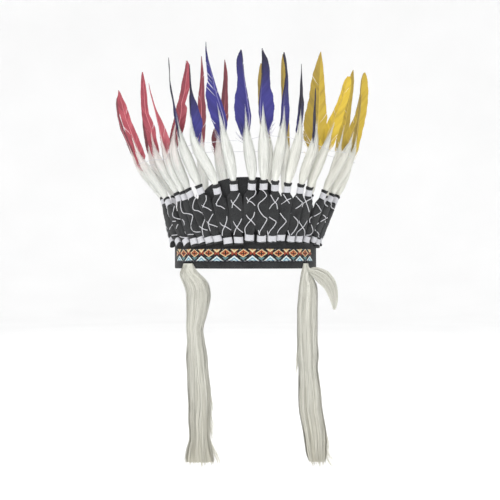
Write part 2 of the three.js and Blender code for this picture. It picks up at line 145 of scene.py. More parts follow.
# Each vane's cut, from its foot up: millimetres above the foot, how far the shaft stands aside of the
# feather's line towards +X, and how far the barbs reach from the shaft on the -X side and on the +X side.
OUTLINES = {
    "front_01": [
        (6, -0.3, 6.5, 6.5), (24, -0.7, 6.5, 6.5), (45, -3, 5.2, 5.2), (63, -1.9, 4, 4),
        (79, 2.6, 3.4, 3.4), (89, 6.2, 1.3, 1.3),
    ],
    "front_02": [
        (-7, -1.7, 4.4, 3.6), (5, 3.4, 8.5, 7), (18, 3.7, 7.9, 6.4), (33, 2, 8, 6.6), (49, -0.2, 7.1, 5.8),
        (64, -1, 7.2, 5.9), (72, -0.7, 5.7, 4.7), (80, -1.1, 3.9, 3.2), (86, -0.4, 2, 1.7),
        (90, -0.5, 0.4, 0.4),
    ],
    "front_03": [
        (-1, 2.8, 5.7, 3.8), (8, 3.8, 7.4, 4.9), (19, 3.2, 7.2, 4.8), (34, 3.3, 8.3, 5.5),
        (45, 0.7, 6.9, 4.6), (51, -0.6, 5.8, 3.8), (63, -0.4, 5.3, 3.5), (77, 0.6, 4.8, 3.2),
        (89, 1.3, 3.5, 2.3), (97, 1.6, 2, 1.3), (102, 2, 0.5, 0.4),
    ],
    "front_04": [
        (5, 3.2, 4.5, 10.4), (11, 3.3, 6.4, 14.9), (21, 3.7, 6.5, 15.3), (33, 3.4, 4.8, 11.3),
        (47, 2.2, 2.5, 5.9), (55, 1.2, 1.5, 3.5), (67, -0.1, 0.8, 1.9), (77, -1, 0.5, 1.2),
        (88, -0.8, 0.4, 0.9),
    ],
    "front_05": [
        (1, -2.5, 4.4, 3.6), (9, 0, 7.9, 6.5), (22, 2.9, 9.2, 7.5), (36, 4, 8.4, 6.9), (47, 3.8, 7.7, 6.3),
        (51, 2.4, 5.6, 4.6), (57, 3.2, 5.6, 4.6), (68, 4.2, 6.2, 5.1), (80, 3.6, 5.5, 4.5),
        (92, 2.8, 3.5, 2.9), (100, 2, 2.5, 2.1), (104, 0.4, 0.7, 0.6),
    ],
    "front_06": [
        (1, -3.5, 4.5, 10.6), (13, -3.8, 5.6, 13.2), (28, -4.4, 5.1, 12), (44, -4.4, 2.9, 6.8),
        (58, -5, 2.1, 4.8), (72, -4.5, 1.5, 3.4), (98, -1.3, 0.6, 1.4),
    ],
    "front_07": [
        (-5, -7.2, 1, 5.7), (1, -8.5, 1.9, 10.5), (11, -8.2, 2.4, 13.8), (22, -6.4, 2.6, 14.7),
        (30, -6.7, 2.2, 12.4), (39, -6.2, 1.8, 10.2), (49, -5.8, 1.1, 6.1), (58, -4.5, 0.5, 2.8),
        (70, -3.6, 0.3, 1.5), (89, -1.7, 0.1, 0.8),
    ],
    "front_08": [
        (-1, 0.6, 4, 0.9), (5, 3.6, 9.5, 2.1), (14, 5.7, 14.4, 3.2), (26, 5.3, 16, 3.5),
        (38, 3.8, 15.7, 3.4), (51, 1.8, 13.3, 2.9), (58, 1.1, 10.6, 2.3), (67, 0.8, 6.9, 1.5),
        (76, -0.1, 4.9, 1.1), (90, -1.2, 3.1, 0.7), (102, -1.2, 1.4, 0.3), (112, 0.1, 0.5, 0.1),
    ],
    "front_09": [
        (-1, 3.5, 4.3, 0.6), (6, 6.3, 10.2, 1.4), (14, 8, 15, 2), (24, 8.9, 17.8, 2.4),
        (37, 7.2, 16.3, 2.2), (49, 5.9, 13.5, 1.8), (59, 4.5, 9.5, 1.3), (71, 3.1, 7.7, 1),
        (83, 2.1, 7.8, 1.1), (92, 1.8, 6.5, 0.9), (98, 1.5, 3.8, 0.5), (102, 1.2, 0.7, 0.1),
    ],
    "front_10": [
        (-1, -2.5, 0.6, 5), (5, -4.4, 1.1, 9.9), (13, -6.3, 1.6, 14.6), (23, -7.4, 2, 17.6),
        (32, -6.9, 1.9, 17.2), (44, -6, 1.7, 14.9), (53, -5.1, 1.2, 11), (63, -3.7, 1.1, 9.5),
        (77, -3.4, 1, 8.9), (86, -3, 0.7, 6.1), (93, -3.5, 0.3, 2.8), (98, -3.6, 0.1, 0.8),
    ],
    "front_11": [
        (-1, -1.9, 2, 7.9), (8, -4.2, 3.4, 13.7), (17, -3, 3.4, 13.8), (29, -2.4, 3.2, 12.9),
        (43, -1.3, 2.6, 10.4), (55, 0.7, 1.5, 6.2), (67, 2.4, 1, 4.1), (79, 1.7, 0.9, 3.7),
        (90, 0.1, 1, 3.8), (95, 0.3, 0.3, 1.1),
    ],
    "front_12": [
        (-3, -0.1, 2.3, 5.3), (6, -3.5, 4.3, 10), (17, -3.5, 3.9, 9.2), (29, -2.2, 3.5, 8.1),
        (40, -1.5, 3.7, 8.6), (50, -1.4, 2.2, 5), (60, -1.2, 1.6, 3.7), (74, -0.9, 1, 2.2),
        (86, -1.1, 0.2, 0.5),
    ],
    "front_13": [
        (-4, 0.8, 5.3, 7.9), (7, -1, 7.6, 11.3), (21, -1.6, 6.4, 9.6), (38, -0.9, 4.7, 7.1),
        (52, -0.1, 3.3, 4.9), (64, 0.1, 0.8, 1.2),
    ],
    "front_14": [
        (-1, -1.3, 4.9, 9.1), (7, -5.9, 7, 13), (17, -6.2, 7.3, 13.6), (30, -4.5, 6.6, 12.2),
        (42, -3.3, 5.4, 10), (53, -2.2, 4.6, 8.5), (65, -1.6, 4.3, 8.1), (75, -2.4, 3.9, 7.2),
        (82, -2.8, 3.1, 5.7), (87, -2.4, 1, 1.8),
    ],
    "back_09": [
        (5, -0.7, 6.2, 6.2), (21, 0.1, 7.9, 7.9), (40, 1.3, 7.3, 7.3), (58, 0.9, 5.6, 5.6),
        (77, 1.3, 4.2, 4.2), (96, 0.6, 3.2, 3.2), (106, -0.8, 2.5, 2.5), (112, -0.7, 0.4, 0.4),
    ],
    "front_15": [
        (-6, 3, 5, 1.2), (2, -0.1, 8.2, 2.1), (13, -2, 8.4, 2.1), (24, -0.2, 6.7, 1.7),
        (36, 2.5, 5.4, 1.3), (45, 2.6, 3.2, 0.8), (54, 2.3, 0.9, 0.2),
    ],
    "front_17": [
        (3, -4.3, 1.3, 9.7), (16, -6.7, 1.6, 12.1), (31, -5.7, 1.7, 12.3), (46, -3.6, 1.6, 11.7),
        (62, -2.2, 1.5, 10.8), (74, -2.2, 1.4, 10.6), (87, -3.4, 1.4, 10.3), (99, -4.2, 1.1, 8.3),
        (106, -3.7, 0.7, 5.2), (109, -2.8, 0.1, 1.1),
    ],
    "back_08": [
        (-3, -1, 12.3, 7.5), (8, -0.1, 17.4, 10.6), (25, 1.1, 19, 11.7), (42, 1.5, 19.5, 12),
        (55, 1.3, 16.6, 10.2), (69, 1.2, 14, 8.6), (86, 0.5, 12.1, 7.4), (103, 0.1, 9.3, 5.7),
        (117, 0.4, 5.8, 3.6), (128, 0.1, 2.5, 1.5), (134, 0.3, 0.5, 0.3),
    ],
    "back_02": [
        (11, -6.1, 3.9, 3.9), (23, -4.1, 6.4, 6.4), (37, -3.2, 6.9, 6.9), (53, -3, 5.5, 5.5),
        (70, -2.3, 3.4, 3.4), (89, 0.9, 2, 2), (105, 4.1, 0.6, 0.6),
    ],
    "back_04": [
        (5, 4.2, 3.8, 4.6), (22, 4.1, 4.7, 5.8), (42, 3.8, 5, 6.2), (59, 2.7, 5.1, 6.2),
        (70, 1.4, 4.2, 5.1), (87, 1.5, 3, 3.7), (104, 1, 2.2, 2.6), (118, -0.2, 1.1, 1.4),
        (130, -1.3, 0.3, 0.4),
    ],
    "back_05": [
        (-10, -5.7, 4.8, 3.2), (1, -5.7, 10, 6.7), (12, -5.1, 12.5, 8.4), (26, -1.5, 12.1, 8.1),
        (43, 1.6, 10.2, 6.8), (60, 2.8, 7.5, 5), (77, 3, 5.5, 3.7), (95, 3.3, 4.4, 3), (106, 3, 3.5, 2.3),
        (117, 2, 2.1, 1.4), (124, 1, 0.6, 0.4),
    ],
    "back_06": [
        (-19, 3.7, 4.9, 2.1), (-5, 2.8, 7.1, 3.1), (15, 1.1, 8.5, 3.6), (35, -0.2, 9.4, 4),
        (55, -2.6, 7.2, 3.1), (75, -3.6, 5.3, 2.3), (95, -2.5, 5.1, 2.2), (112, -1.2, 3, 1.3),
        (119, -0.6, 0.8, 0.3),
    ],
    "back_07": [
        (-10, -1.7, 2.9, 4.4), (7, -1.5, 4.1, 6.1), (27, -1.8, 4.6, 6.9), (49, -1.6, 4.2, 6.3),
        (69, -1.6, 3.6, 5.4), (89, -1.5, 3.3, 4.9), (109, -0.7, 3.3, 4.9), (124, 0.2, 2.3, 3.5),
        (132, 0.5, 0.5, 0.8),
    ],
}
PLAIN_OUTLINE = [
    (-0.06, 0, 0.2, 0.2), (0.04, 0, 0.4, 0.35), (0.2, 0, 0.53, 0.42), (0.42, 0, 0.5, 0.36),
    (0.52, 0, 0.34, 0.34), (0.72, 0, 0.28, 0.3), (0.9, 0, 0.17, 0.18), (1, 0, 0.02, 0.02),
]

# Where the white lacing runs over the front stems: degrees round the ring and millimetres up.
LACING = [
    [(-67.4, 78), (-70.3, 71), (-68.8, 65)],
    [
        (-56.7, 78), (-59.8, 71), (-59.8, 65), (-55.4, 62), (-49.4, 61), (-47.3, 58), (-47.8, 53),
        (-49.3, 46), (-47.7, 42), (-43.8, 42), (-40.3, 42),
    ],
    [
        (-47.2, 85), (-47.8, 75), (-46.5, 69), (-42.2, 68), (-38.4, 66), (-38.7, 61), (-41.5, 52),
        (-40.7, 47), (-37.5, 45), (-33.6, 45),
    ],
    [(-66.0, 59), (-57.4, 59)],
    [(-64.8, 56), (-68.2, 53), (-70.6, 49)],
    [(-55.5, 55), (-58.7, 48), (-57.9, 42), (-54.1, 39), (-47.5, 38)],
    [(-70.7, 41), (-59.9, 42)],
    [(-32.5, 91), (-35.0, 83), (-36.6, 75), (-35.5, 72), (-32.7, 71), (-30.1, 68)],
    [(-25.5, 90), (-25.6, 84), (-28.0, 77), (-29.5, 71), (-29.7, 66)],
    [(-30.0, 81), (-28.6, 77), (-25.1, 74), (-22.8, 71)],
    [(-14.7, 92), (-16.0, 87), (-18.2, 81), (-18.8, 75)],
    [(-19.2, 80), (-17.9, 77), (-15.7, 76), (-13.3, 73)],
    [(-3.5, 92), (-5.4, 85), (-7.8, 79), (-8.5, 74)],
    [(-8.9, 84), (-8.0, 80), (-5.7, 76), (-2.9, 71)],
    [(5.1, 98), (6.3, 94), (5.4, 89), (2.8, 85), (1.3, 80)],
    [(0.6, 87), (1.9, 83), (4.0, 81), (6.1, 77)],
    [
        (8.3, 97), (10.6, 95), (12.8, 89), (10.9, 84), (8.7, 80), (8.1, 76), (9.3, 70), (11.9, 64),
        (14.3, 61), (13.7, 57), (11.6, 50), (10.1, 45), (9.9, 41),
    ],
    [(15.4, 90), (17.7, 83), (19.6, 79), (20.6, 73)],
    [(20.4, 87), (19.0, 82), (16.9, 78), (15.5, 73)],
    [(23.3, 91), (25.7, 85), (28.3, 80)],
    [(28.7, 86), (26.2, 84), (22.9, 79)],
    [(32.0, 89), (35.1, 84), (37.5, 81), (36.0, 77), (31.5, 72)],
    [(44.5, 87), (41.1, 84), (38.6, 80), (38.2, 76)],
    [(37.0, 93), (39.2, 85), (42.2, 77), (45.2, 70)],
    [
        (50.5, 81), (54.2, 75), (57.2, 71), (53.8, 67), (49.2, 63), (49.0, 59), (52.7, 51), (54.9, 46),
        (53.4, 42), (49.7, 41),
    ],
    [(66.5, 82), (72.3, 78), (79.9, 75)],
    [(58.9, 82), (63.8, 78)],
    [(74.0, 64), (64.9, 61), (59.1, 55)],
    [(62.2, 67), (67.8, 63), (73.1, 58)],
    [(58.3, 49), (63.6, 44), (70.7, 39)],
    [(-28.4, 63), (-29.5, 57), (-31.3, 50), (-31.6, 44), (-31.6, 39)],
    [(-33.5, 52), (-31.1, 49), (-27.5, 47)],
    [(-21.9, 67), (-23.7, 62), (-25.9, 56), (-25.8, 51), (-25.2, 46)],
    [(-26.9, 58), (-25.7, 55), (-22.5, 53), (-19.6, 51)],
    [(-12.3, 64), (-12.5, 59), (-14.0, 52), (-15.9, 46), (-16.7, 40)],
    [(-17.9, 58), (-15.9, 53), (-13.3, 51), (-10.0, 47)],
    [(-2.4, 61), (-4.0, 55), (-6.6, 48), (-8.1, 41)],
    [(-8.1, 58), (-6.7, 53), (-4.5, 48), (-1.7, 44)],
    [(6.0, 69), (5.4, 64), (3.6, 59), (1.0, 53), (-0.3, 48), (0.2, 41)],
    [(0.1, 67), (1.9, 62), (4.3, 58), (6.7, 53)],
    [(15.8, 63), (18.4, 60), (20.8, 57), (19.8, 52), (17.4, 46), (16.2, 41)],
    [(23.0, 68), (25.3, 63), (28.0, 58), (26.3, 53), (24.1, 48), (23.1, 43)],
    [(31.1, 68), (33.9, 63), (37.3, 58), (37.7, 53), (36.0, 46), (34.0, 41)],
    [(45.6, 59), (43.4, 52), (40.4, 46), (39.0, 41)],
    [(38.3, 59), (42.0, 52), (46.1, 46), (48.6, 40)],
    [(31.3, 47), (33.3, 40)],
    [(9.0, 47), (10.0, 41)],
    [(15.6, 46), (16.4, 40)],
]

# The ways that the thread goes over the rear stems: the part of the way up, and the side, -1 to +1.
BACK_LACING = [
    [[(0.9, -0.3), (0.76, 0.8), (0.56, -0.9), (0.3, 0.9), (0.1, -0.5)]],
    [[(0.88, -0.7), (0.72, 0.1), (0.58, 0.7)], [(0.86, 0.7), (0.72, 0.0), (0.58, -0.7)],
     [(0.42, -0.8), (0.26, 0.1), (0.1, 0.7)], [(0.4, 0.8), (0.24, 0.0), (0.1, -0.6)]],
    [[(0.9, 0.4), (0.8, -0.6), (0.62, 0.7)], [(0.5, -0.7), (0.34, 0.8), (0.1, -0.4)]],
]

FLUFF = table(
    "along wide deep",
    (0, 0.46, 0.4), (0.06, 0.7, 0.56), (0.18, 0.9, 0.74), (0.45, 1, 0.82), (0.68, 0.96, 0.76),
    (0.86, 0.8, 0.62), (1, 0.62, 0.48), (1.2, 0.4, 0.32), (1.45, 0.16, 0.14),
)

TASSELS = {
    "left": table(
        "drop shift wide deep",
        (-5.5, 0, 20, 3.2), (-1, 0, 23, 3.4), (4, 0, 25, 10), (10, 3, 29, 16), (17, 9, 34, 20),
        (29, 13, 32, 22), (41, 13, 31, 22), (60, 11, 26, 20), (77, 8, 21, 17), (92, 10, 22, 17),
        (112, 11, 28, 20),
        (127, 12, 27, 21), (155, 14, 30, 22), (176, 15, 29, 22), (192, 14, 28, 21), (215, 15, 26, 20),
        (230, 14, 34, 20), (243, 15, 40, 18), (249, 15, 38, 12),
    ),
    "right": table(
        "drop shift wide deep",
        (-5.5, 0, 12, 3.2), (-1, 0, 12, 3.4), (5, 0, 13, 8), (12, 1, 16, 12), (20, 3, 23, 18),
        (31, 3, 25, 20), (50, 2, 26, 20), (72, 2, 26, 20), (93, 2, 26, 19), (112, 3, 28, 19),
        (125, 3, 24, 18), (142, 4, 27, 19),
        (158, 5, 29, 19), (178, 6, 30, 20), (195, 9, 30, 20), (212, 12, 30, 20), (232, 13, 27, 20),
        (243, 14, 24, 18), (249, 16, 19, 12),
    ),
}
TASSEL_AT = {"left": -50.0, "right": 54.0}
TASSEL_R = BAND_R + GAP + 2
TASSEL_TURN = 12.0
WISP = table(
    "out drop wide",
    (4, 4, 7), (12, 6, 14), (22, 12, 19), (30, 21, 17), (34, 32, 13), (36, 43, 9), (36, 53, 4),
)

# Single locks that stand off a tassel: where they leave it, how far they reach out and how far down they go.
STRAYS = table(
    "tassel drop out reach",
    ("left", 14, -13, 14), ("left", 188, 22, 14), ("left", 202, 19, 12), ("left", 228, 30, 20),
    ("left", 160, 18, 22), ("right", 108, -18, 22), ("right", 236, 24, 12), ("right", 214, 19, 14),
)


# ---- curves and frames ----


def ring_point(deg, radius, z):
    """Points at angles round the ring, radii and heights."""
    turn = np.radians(deg)
    return np.stack(np.broadcast_arrays(radius * np.sin(turn), -radius * np.cos(turn), z), axis=-1)


def unit(vectors):
    return vectors / np.maximum(np.linalg.norm(vectors, axis=-1, keepdims=True), 1e-9)


def column(rows, by, name, at):
    """A table's column between its rows, straight from one row to the next."""
    return np.interp(at, [row[by] for row in rows], [row[name] for row in rows])


def smooth_column(rows, by, name, at):
    """A table's column between its rows, with the corners rounded."""
    xs = np.array([row[by] for row in rows], float)
    spread = np.ptp(xs) * 0.022
    offsets = np.linspace(-1, 1, 7)
    weights = np.exp(-2 * offsets**2)
    values = sum(w * column(rows, by, name, np.asarray(at) + o * spread) for o, w in zip(offsets, weights))
    return values / weights.sum()


def spline(points, at):
    """A smooth curve through points; at counts the points, so 1.5 is halfway from the second to the third."""
    points = np.asarray(points, float)
    ends = (2 * points[:1] - points[1:2], points, 2 * points[-1:] - points[-2:-1])
    padded = np.concatenate(ends)
    at = np.asarray(at, float)
    low = np.clip(np.floor(at).astype(int), 0, len(points) - 2)
    t = (at - low)[..., None]
    a, b, c, d = (padded[low + k] for k in range(4))
    slope_b, slope_c = (c - a) / 2, (d - b) / 2
    curve = (2 * t**3 - 3 * t**2 + 1) * b + (t**3 - 2 * t**2 + t) * slope_b
    return curve + (3 * t**2 - 2 * t**3) * c + (t**3 - t**2) * slope_c


def run(points, at, facing):
    """Places on a curve, with the directions along it, across it and through it towards the facing side."""
    centre = spline(points, at)
    along = unit(spline(points, np.asarray(at) + 0.01) - spline(points, np.asarray(at) - 0.01))
    across = unit(np.cross(facing, along))
    return centre, along, across, np.cross(along, across)


def stem_lean(deg):
    return 0.31 + 0.1 * np.sin(np.radians(deg))


def stem_point(plume, part):
    deg = plume["foot"] + (plume["top"] - plume["foot"]) * np.asarray(part, float)
    z = plume["footZ"] + (plume["topZ"] - plume["footZ"]) * np.asarray(part, float)
    return ring_point(deg, STEM_R + stem_lean(deg) * np.maximum(0, z - STEM_Z), z)


def plume_knots(plume):
    root_r = ROOT_R + ROOT_SPREAD * math.sin(math.radians(plume["root"])) ** 2
    tip_r = TIP_R - 5 * math.sin(math.radians(plume["tip"])) + plume["lean"]
    return np.array([
        stem_point(plume, -STEM_FOOT),
        stem_point(plume, 1 + STEM_FOOT),
        ring_point(plume["root"], root_r, plume["rootZ"]),
        ring_point(plume["tip"], tip_r, plume["tipZ"]),
    ])


# ---- meshes ----


def spread(value, count):
    """One value for every point, given as one number or as one per point in any arrangement."""
    value = np.asarray(value, float).reshape(-1)
    return np.full(count, value[0]) if len(value) == 1 else value


class Skin:
    """Gathers vertices, faces and values on the vertices for one mesh."""

    def __init__(self):
        self.points, self.corners, self.sizes, self.values, self.count = [], [], [], [], 0

    def add(self, points, faces, **values):
        points = np.asarray(points, float).reshape(-1, 3)
        faces = np.asarray(faces, int)
        self.values.append({name: spread(value, len(points)) for name, value in values.items()})
        self.points.append(points)
        self.corners.append((faces + self.count).reshape(-1))
        self.sizes.append(np.full(len(faces), faces.shape[1]))
        self.count += len(points)

    def piece(self, name, material, slot):
        mesh = bpy.data.meshes.new(name)
        points, corners, sizes = (np.concatenate(x) for x in (self.points, self.corners, self.sizes))
        mesh.vertices.add(len(points))
        mesh.vertices.foreach_set("co", (points * MM).reshape(-1))
        mesh.loops.add(len(corners))
        mesh.loops.foreach_set("vertex_index", corners)
        mesh.polygons.add(len(sizes))
        mesh.polygons.foreach_set("loop_start", np.concatenate(([0], np.cumsum(sizes)[:-1])))
        mesh.polygons.foreach_set("loop_total", sizes)
        mesh.polygons.foreach_set("use_smooth", np.ones(len(sizes), bool))
        mesh.update(calc_edges=True)
        for value in sorted({key for part in self.values for key in part}):
            parts = [part.get(value, np.zeros(len(at))) for part, at in zip(self.values, self.points)]
            mesh.attributes.new(value, "FLOAT", "POINT").data.foreach_set("value", np.concatenate(parts))
        mesh.materials.append(material)
        made = bpy.data.objects.new(name, mesh)
        bpy.context.collection.objects.link(made)
        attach(made, "root")
        return made


def grid_faces(rows, columns, round_rows=False, round_columns=False):
    """Quads over a grid of points, closed on itself either way."""
    i = np.arange(rows if round_rows else rows - 1)[:, None]
    k = np.arange(columns if round_columns else columns - 1)[None, :]
    i2, k2 = (i + 1) % rows, (k + 1) % columns
    quads = [i * columns + k, i * columns + k2, i2 * columns + k2, i2 * columns + k]
    return np.stack(np.broadcast_arrays(*quads), axis=-1).reshape(-1, 4)


def add_tube(skin, path, radius, sides=6, **values):
    """A round tube along a path of points, with closed ends; the radius may change along it."""
    path = np.asarray(path, float)
    along = unit(np.gradient(path, axis=0))
    aside = np.where(np.abs(along[:, 2:]) > 0.8, [[1.0, 0, 0]], [[0, 0, 1.0]])
    across = unit(np.cross(along, aside))
    through = np.cross(along, across)
    turn = np.linspace(0, 2 * np.pi, sides, endpoint=False)[None, :, None]
    radius = np.broadcast_to(radius, len(path))[:, None, None]
    rings = path[:, None] + radius * (across[:, None] * np.cos(turn) + through[:, None] * np.sin(turn))
    skin.add(rings, grid_faces(len(path), sides, round_columns=True), **values)
    for ring, order in ((rings[0], -1), (rings[-1], 1)):
        skin.add(ring, [np.arange(sides)[::order]], **values)


def add_strands(skin, paths, normals, width, **values):
    """Thin tapering ribbons along many paths at once, lying flat towards their normals."""
    paths = np.asarray(paths, float)
    count, steps = paths.shape[:2]
    along = np.gradient(paths, axis=1)
    side = unit(np.cross(along, normals))
    share = np.linspace(0, 1, steps)
    taper = np.sqrt(np.clip(1.02 - share**2, 0.02, 1))[None, :, None]
    half = np.broadcast_to(np.asarray(width, float), count)[:, None, None] * taper / 2
    points = np.stack((paths - side * half, paths + side * half), axis=2)
    first = (np.arange(count)[:, None] * steps + np.arange(steps - 1)[None, :]) * 2
    faces = np.stack((first, first + 1, first + 3, first + 2), axis=-1).reshape(-1, 4)
    values = {name: np.repeat(value, steps * 2) for name, value in values.items()}
    skin.add(points, faces, **values)


# ---- shader arithmetic ----


class Value:
    """A shader socket that takes part in Python arithmetic."""

    def __init__(self, tree, socket):
        self.tree, self.socket = tree, socket

    def math(self, operation, *others):
        node = self.tree.nodes.new("ShaderNodeMath")
        node.operation = operation
        for slot, value in zip(node.inputs, (self, *others)):
            connect(self.tree, slot, value)
        return Value(self.tree, node.outputs[0])

    def __add__(self, other):
        return self.math("ADD", other)

    def __sub__(self, other):
        return self.math("SUBTRACT", other)

    def __mul__(self, other):
        return self.math("MULTIPLY", other)

    def __truediv__(self, other):
        return self.math("DIVIDE", other)

    def __rsub__(self, other):
        return other_value(self.tree, other).math("SUBTRACT", self)

    def __lt__(self, other):
        return self.math("LESS_THAN", other)

    def __gt__(self, other):
        return self.math("GREATER_THAN", other)

    __radd__ = __add__
    __rmul__ = __mul__

    def clamp(self):
        """The value held between 0 and 1."""
        held = self.math("ADD", 0)
        held.socket.node.use_clamp = True
        return held


def other_value(tree, number):
    """A plain number as a value, for the left side of an expression."""
    node = tree.nodes.new("ShaderNodeMath")
    node.operation = "ADD"
    node.inputs[0].default_value = number
    node.inputs[1].default_value = 0
    return Value(tree, node.outputs[0])


def connect(tree, slot, value):
    if isinstance(value, Value):
        tree.links.new(slot, value.socket)
    else:
        slot.default_value = value


class Finish:
    """One material, built up from nodes."""

    def __init__(self, name, **surface):
        self.material = bpy.data.materials.new(name)
        self.material.use_nodes = True
        self.tree = self.material.node_tree
        self.shader = self.tree.nodes["Principled BSDF"]
        for socket, value in surface.items():
            self.shader.inputs[socket.replace("_", " ")].default_value = value

    def node(self, kind, settings=None, out=0, places=None, **inputs):
        """A node of a type: its settings, a ramp's stops among them, then its sockets by name or place."""
        node = self.tree.nodes.new("ShaderNode" + kind)
        for name, value in (settings or {}).items():
            if name == "stops":
                set_stops(node.color_ramp, value)
            else:
                setattr(node, name, value)
        for name, value in inputs.items():
            connect(self.tree, node.inputs[name.replace("_", " ")], value)
        for place, value in (places or {}).items():
            connect(self.tree, node.inputs[place], value)
        return Value(self.tree, node.outputs[out])

    def attribute(self, name):
        return self.node("Attribute", {"attribute_name": name}, out=2)

    def place(self):
        return self.node("TexCoord", out=3)

    def stretched(self, x, y, z):
        """The place on the piece, scaled apart along the three axes."""
        return self.node("Mapping", Vector=self.place(), Scale=(x, y, z))

    def noise(self, place, scale, detail=3.0):
        return self.node("TexNoise", Vector=place, Scale=scale, Detail=detail)

    def ramp(self, value, *stops):
        return self.node("ValToRGB", {"stops": stops}, Fac=value)

    def mix(self, share, a, b):
        """A colour between two colours."""
        a, b = (rgba(value) if isinstance(value, tuple) else value for value in (a, b))
        return self.node("Mix", {"data_type": "RGBA"}, out=2, places={0: share, 6: a, 7: b})

    def surface(self, colour, roughness=None, height=None, bump=0.5, distance=0.001):
        connect(self.tree, self.shader.inputs["Base Color"], colour)
        if roughness is not None:
            connect(self.tree, self.shader.inputs["Roughness"], roughness)
        if height is not None:
            normal = self.node("Bump", Strength=bump, Distance=distance, Height=height)
            connect(self.tree, self.shader.inputs["Normal"], normal)
        return self.material


def set_stops(ramp, stops):
    """Fills a colour ramp from (position, colour) pairs."""
    while len(ramp.elements) > 1:
        ramp.elements.remove(ramp.elements[-1])
    for i, (position, colour) in enumerate(stops):
        element = ramp.elements[0] if i == 0 else ramp.elements.new(position)
        element.position = position
        element.color = rgba(colour)


def rgba(colour):
    """A colour given as 0 to 255 per channel, as it looks, in the shader's own linear terms."""
    linear = [((c / 255 + 0.055) / 1.055) ** 2.4 if c > 10 else c / 3294.6 for c in colour]
    return (*linear, 1.0)


# ---- finishes ----


def felt_finish():
    felt = Finish("black_felt", Sheen_Weight=0.08, Sheen_Roughness=0.6, Specular_IOR_Level=0.15)
    fibre = felt.noise(felt.place(), 900, 6)
    patch = felt.noise(felt.place(), 60, 2)
    lint = felt.noise(felt.stretched(1, 1, 0.35), 2600, 2) > 0.66
    colour = felt.ramp(fibre * 0.6 + patch * 0.4, (0.3, (30, 30, 31)), (0.7, (58, 59, 60)))
    colour = felt.mix(lint * 0.2, colour, (96, 96, 98))
    return felt.surface(colour, 0.95, fibre + patch * 0.5, 0.6, 0.0008)


def thread_finish():
    thread = Finish("white_thread", Sheen_Weight=0.2, Specular_IOR_Level=0.35)
    fibre = thread.noise(thread.place(), 1800, 3)
    colour = thread.ramp(fibre, (0.25, (176, 177, 182)), (0.6, (214, 214, 218)))
    return thread.surface(colour, 0.6, fibre, 0.3, 0.0003)


def down_finish():
    down = Finish("white_down", Sheen_Weight=0.3, Specular_IOR_Level=0.15)
    shade = down.attribute("shade")
    streak = down.noise(down.stretched(1, 1, 0.12), 700, 3)
    colour = down.ramp(streak * 0.5 + shade * 0.5, (0.2, (214, 216, 211)), (0.75, (240, 241, 236)))
    colour = down.mix(down.attribute("cream") * 0.3, colour, (236, 232, 214))
    colour = down.mix(down.attribute("blush") * 0.35, colour, (240, 206, 206))
    return down.surface(colour, 0.85, streak, 0.25, 0.0006)


DYES = {
    "red": {"deep": (96, 44, 54), "body": (166, 72, 84), "light": (206, 112, 122), "tip": (128, 58, 66)},
    "blue": {"deep": (34, 32, 72), "body": (50, 47, 124), "light": (78, 74, 152), "tip": (36, 33, 46)},
    "yellow": {"deep": (108, 94, 52), "body": (208, 176, 52), "light": (232, 206, 78), "tip": (160, 134, 62)},
}


def vane_finish(dye):
    """Dyed barbs: silky, streaked along the barbs, with a painted highlight along the shaft and painted shade
    on the darker half vanes, darker towards the tip and undyed at the foot.
    """
    colours = DYES[dye]
    vane = Finish("vane_" + dye, Sheen_Weight=0.1, Specular_IOR_Level=0.35)
    along, reach, row = vane.attribute("along"), vane.attribute("reach"), vane.attribute("row")
    barbs = (row * 18.85).math("SINE") * 0.5 + 0.5
    streak = vane.noise(vane.node("CombineXYZ", X=row * 0.9, Y=reach * 1.2, Z=vane.attribute("tone")), 1.0, 3)
    patch = vane.noise(vane.place(), 45, 2)
    # the dye's random spread plus painted shade, from the per-half term in the shade value
    dye_spread_and_painted_shade = vane.attribute("shade") * 0.5 + streak * 0.25 + patch * 0.2 + barbs * 0.05
    colour = vane.ramp(dye_spread_and_painted_shade, (0.2, colours["deep"]), (0.5, colours["body"]), (0.8, colours["light"]))
    # painted highlight: a lighter band next to the shaft, where light catches the ridge of the vane
    shaft_highlight = ((0.16 - reach) * 5.0).clamp() * (along > 0.12)
    colour = vane.mix(shaft_highlight * 0.35, colour, colours["light"])
    # painted shade and dye depth: each half vane is darkened towards the deep colour by its left or right
    # value, as shade on halves turned from the lamps and on far-side feathers
    colour = vane.mix(((1.0 - vane.attribute("tone")) * 1.6).clamp(), colour, colours["deep"])
    tip = ((along + vane.attribute("dark") - 1.0) * 2.4 + (patch - 0.5) * 0.3).clamp()
    colour = vane.mix(tip * 0.92, colour, colours["tip"])
    undyed = ((0.03 - along) * 12.0 + (streak - 0.5) * 1.2).clamp()
    colour = vane.mix(undyed * 0.9, colour, (238, 236, 232))
    return vane.surface(colour, 0.48 + barbs * 0.12, barbs, 0.3, 0.0002)


def shaft_finish(dye):
    shaft = Finish("shaft_" + dye, Specular_IOR_Level=0.5)
    tint = {"red": (214, 128, 138), "blue": (118, 112, 172), "yellow": (206, 176, 84)}[dye]
    share = (shaft.attribute("along") * 2.6).clamp()
    colour = shaft.mix(share, (232, 226, 214), tint)
    tip = ((shaft.attribute("along") + shaft.attribute("dark") - 0.95) * 3.0).clamp()
    colour = shaft.mix(tip, colour, DYES[dye]["tip"])
    return shaft.surface(colour, 0.4, shaft.noise(shaft.place(), 900), 0.15, 0.0002)


def fur_finish():
    fur = Finish("white_fur", Sheen_Weight=0.25, Specular_IOR_Level=0.3)
    shade, down = fur.attribute("shade"), fur.attribute("fall")
    streak = fur.noise(fur.stretched(1, 1, 0.05), 600, 4)
    stops = ((0.15, (164, 163, 152)), (0.5, (204, 203, 192)), (0.85, (228, 227, 218)))
    colour = fur.ramp(streak * 0.45 + shade * 0.55, *stops)
    colour = fur.mix((down - 0.6).clamp() * 0.9, colour, (190, 182, 158))
    return fur.surface(colour, 0.55, streak, 0.4, 0.0006)


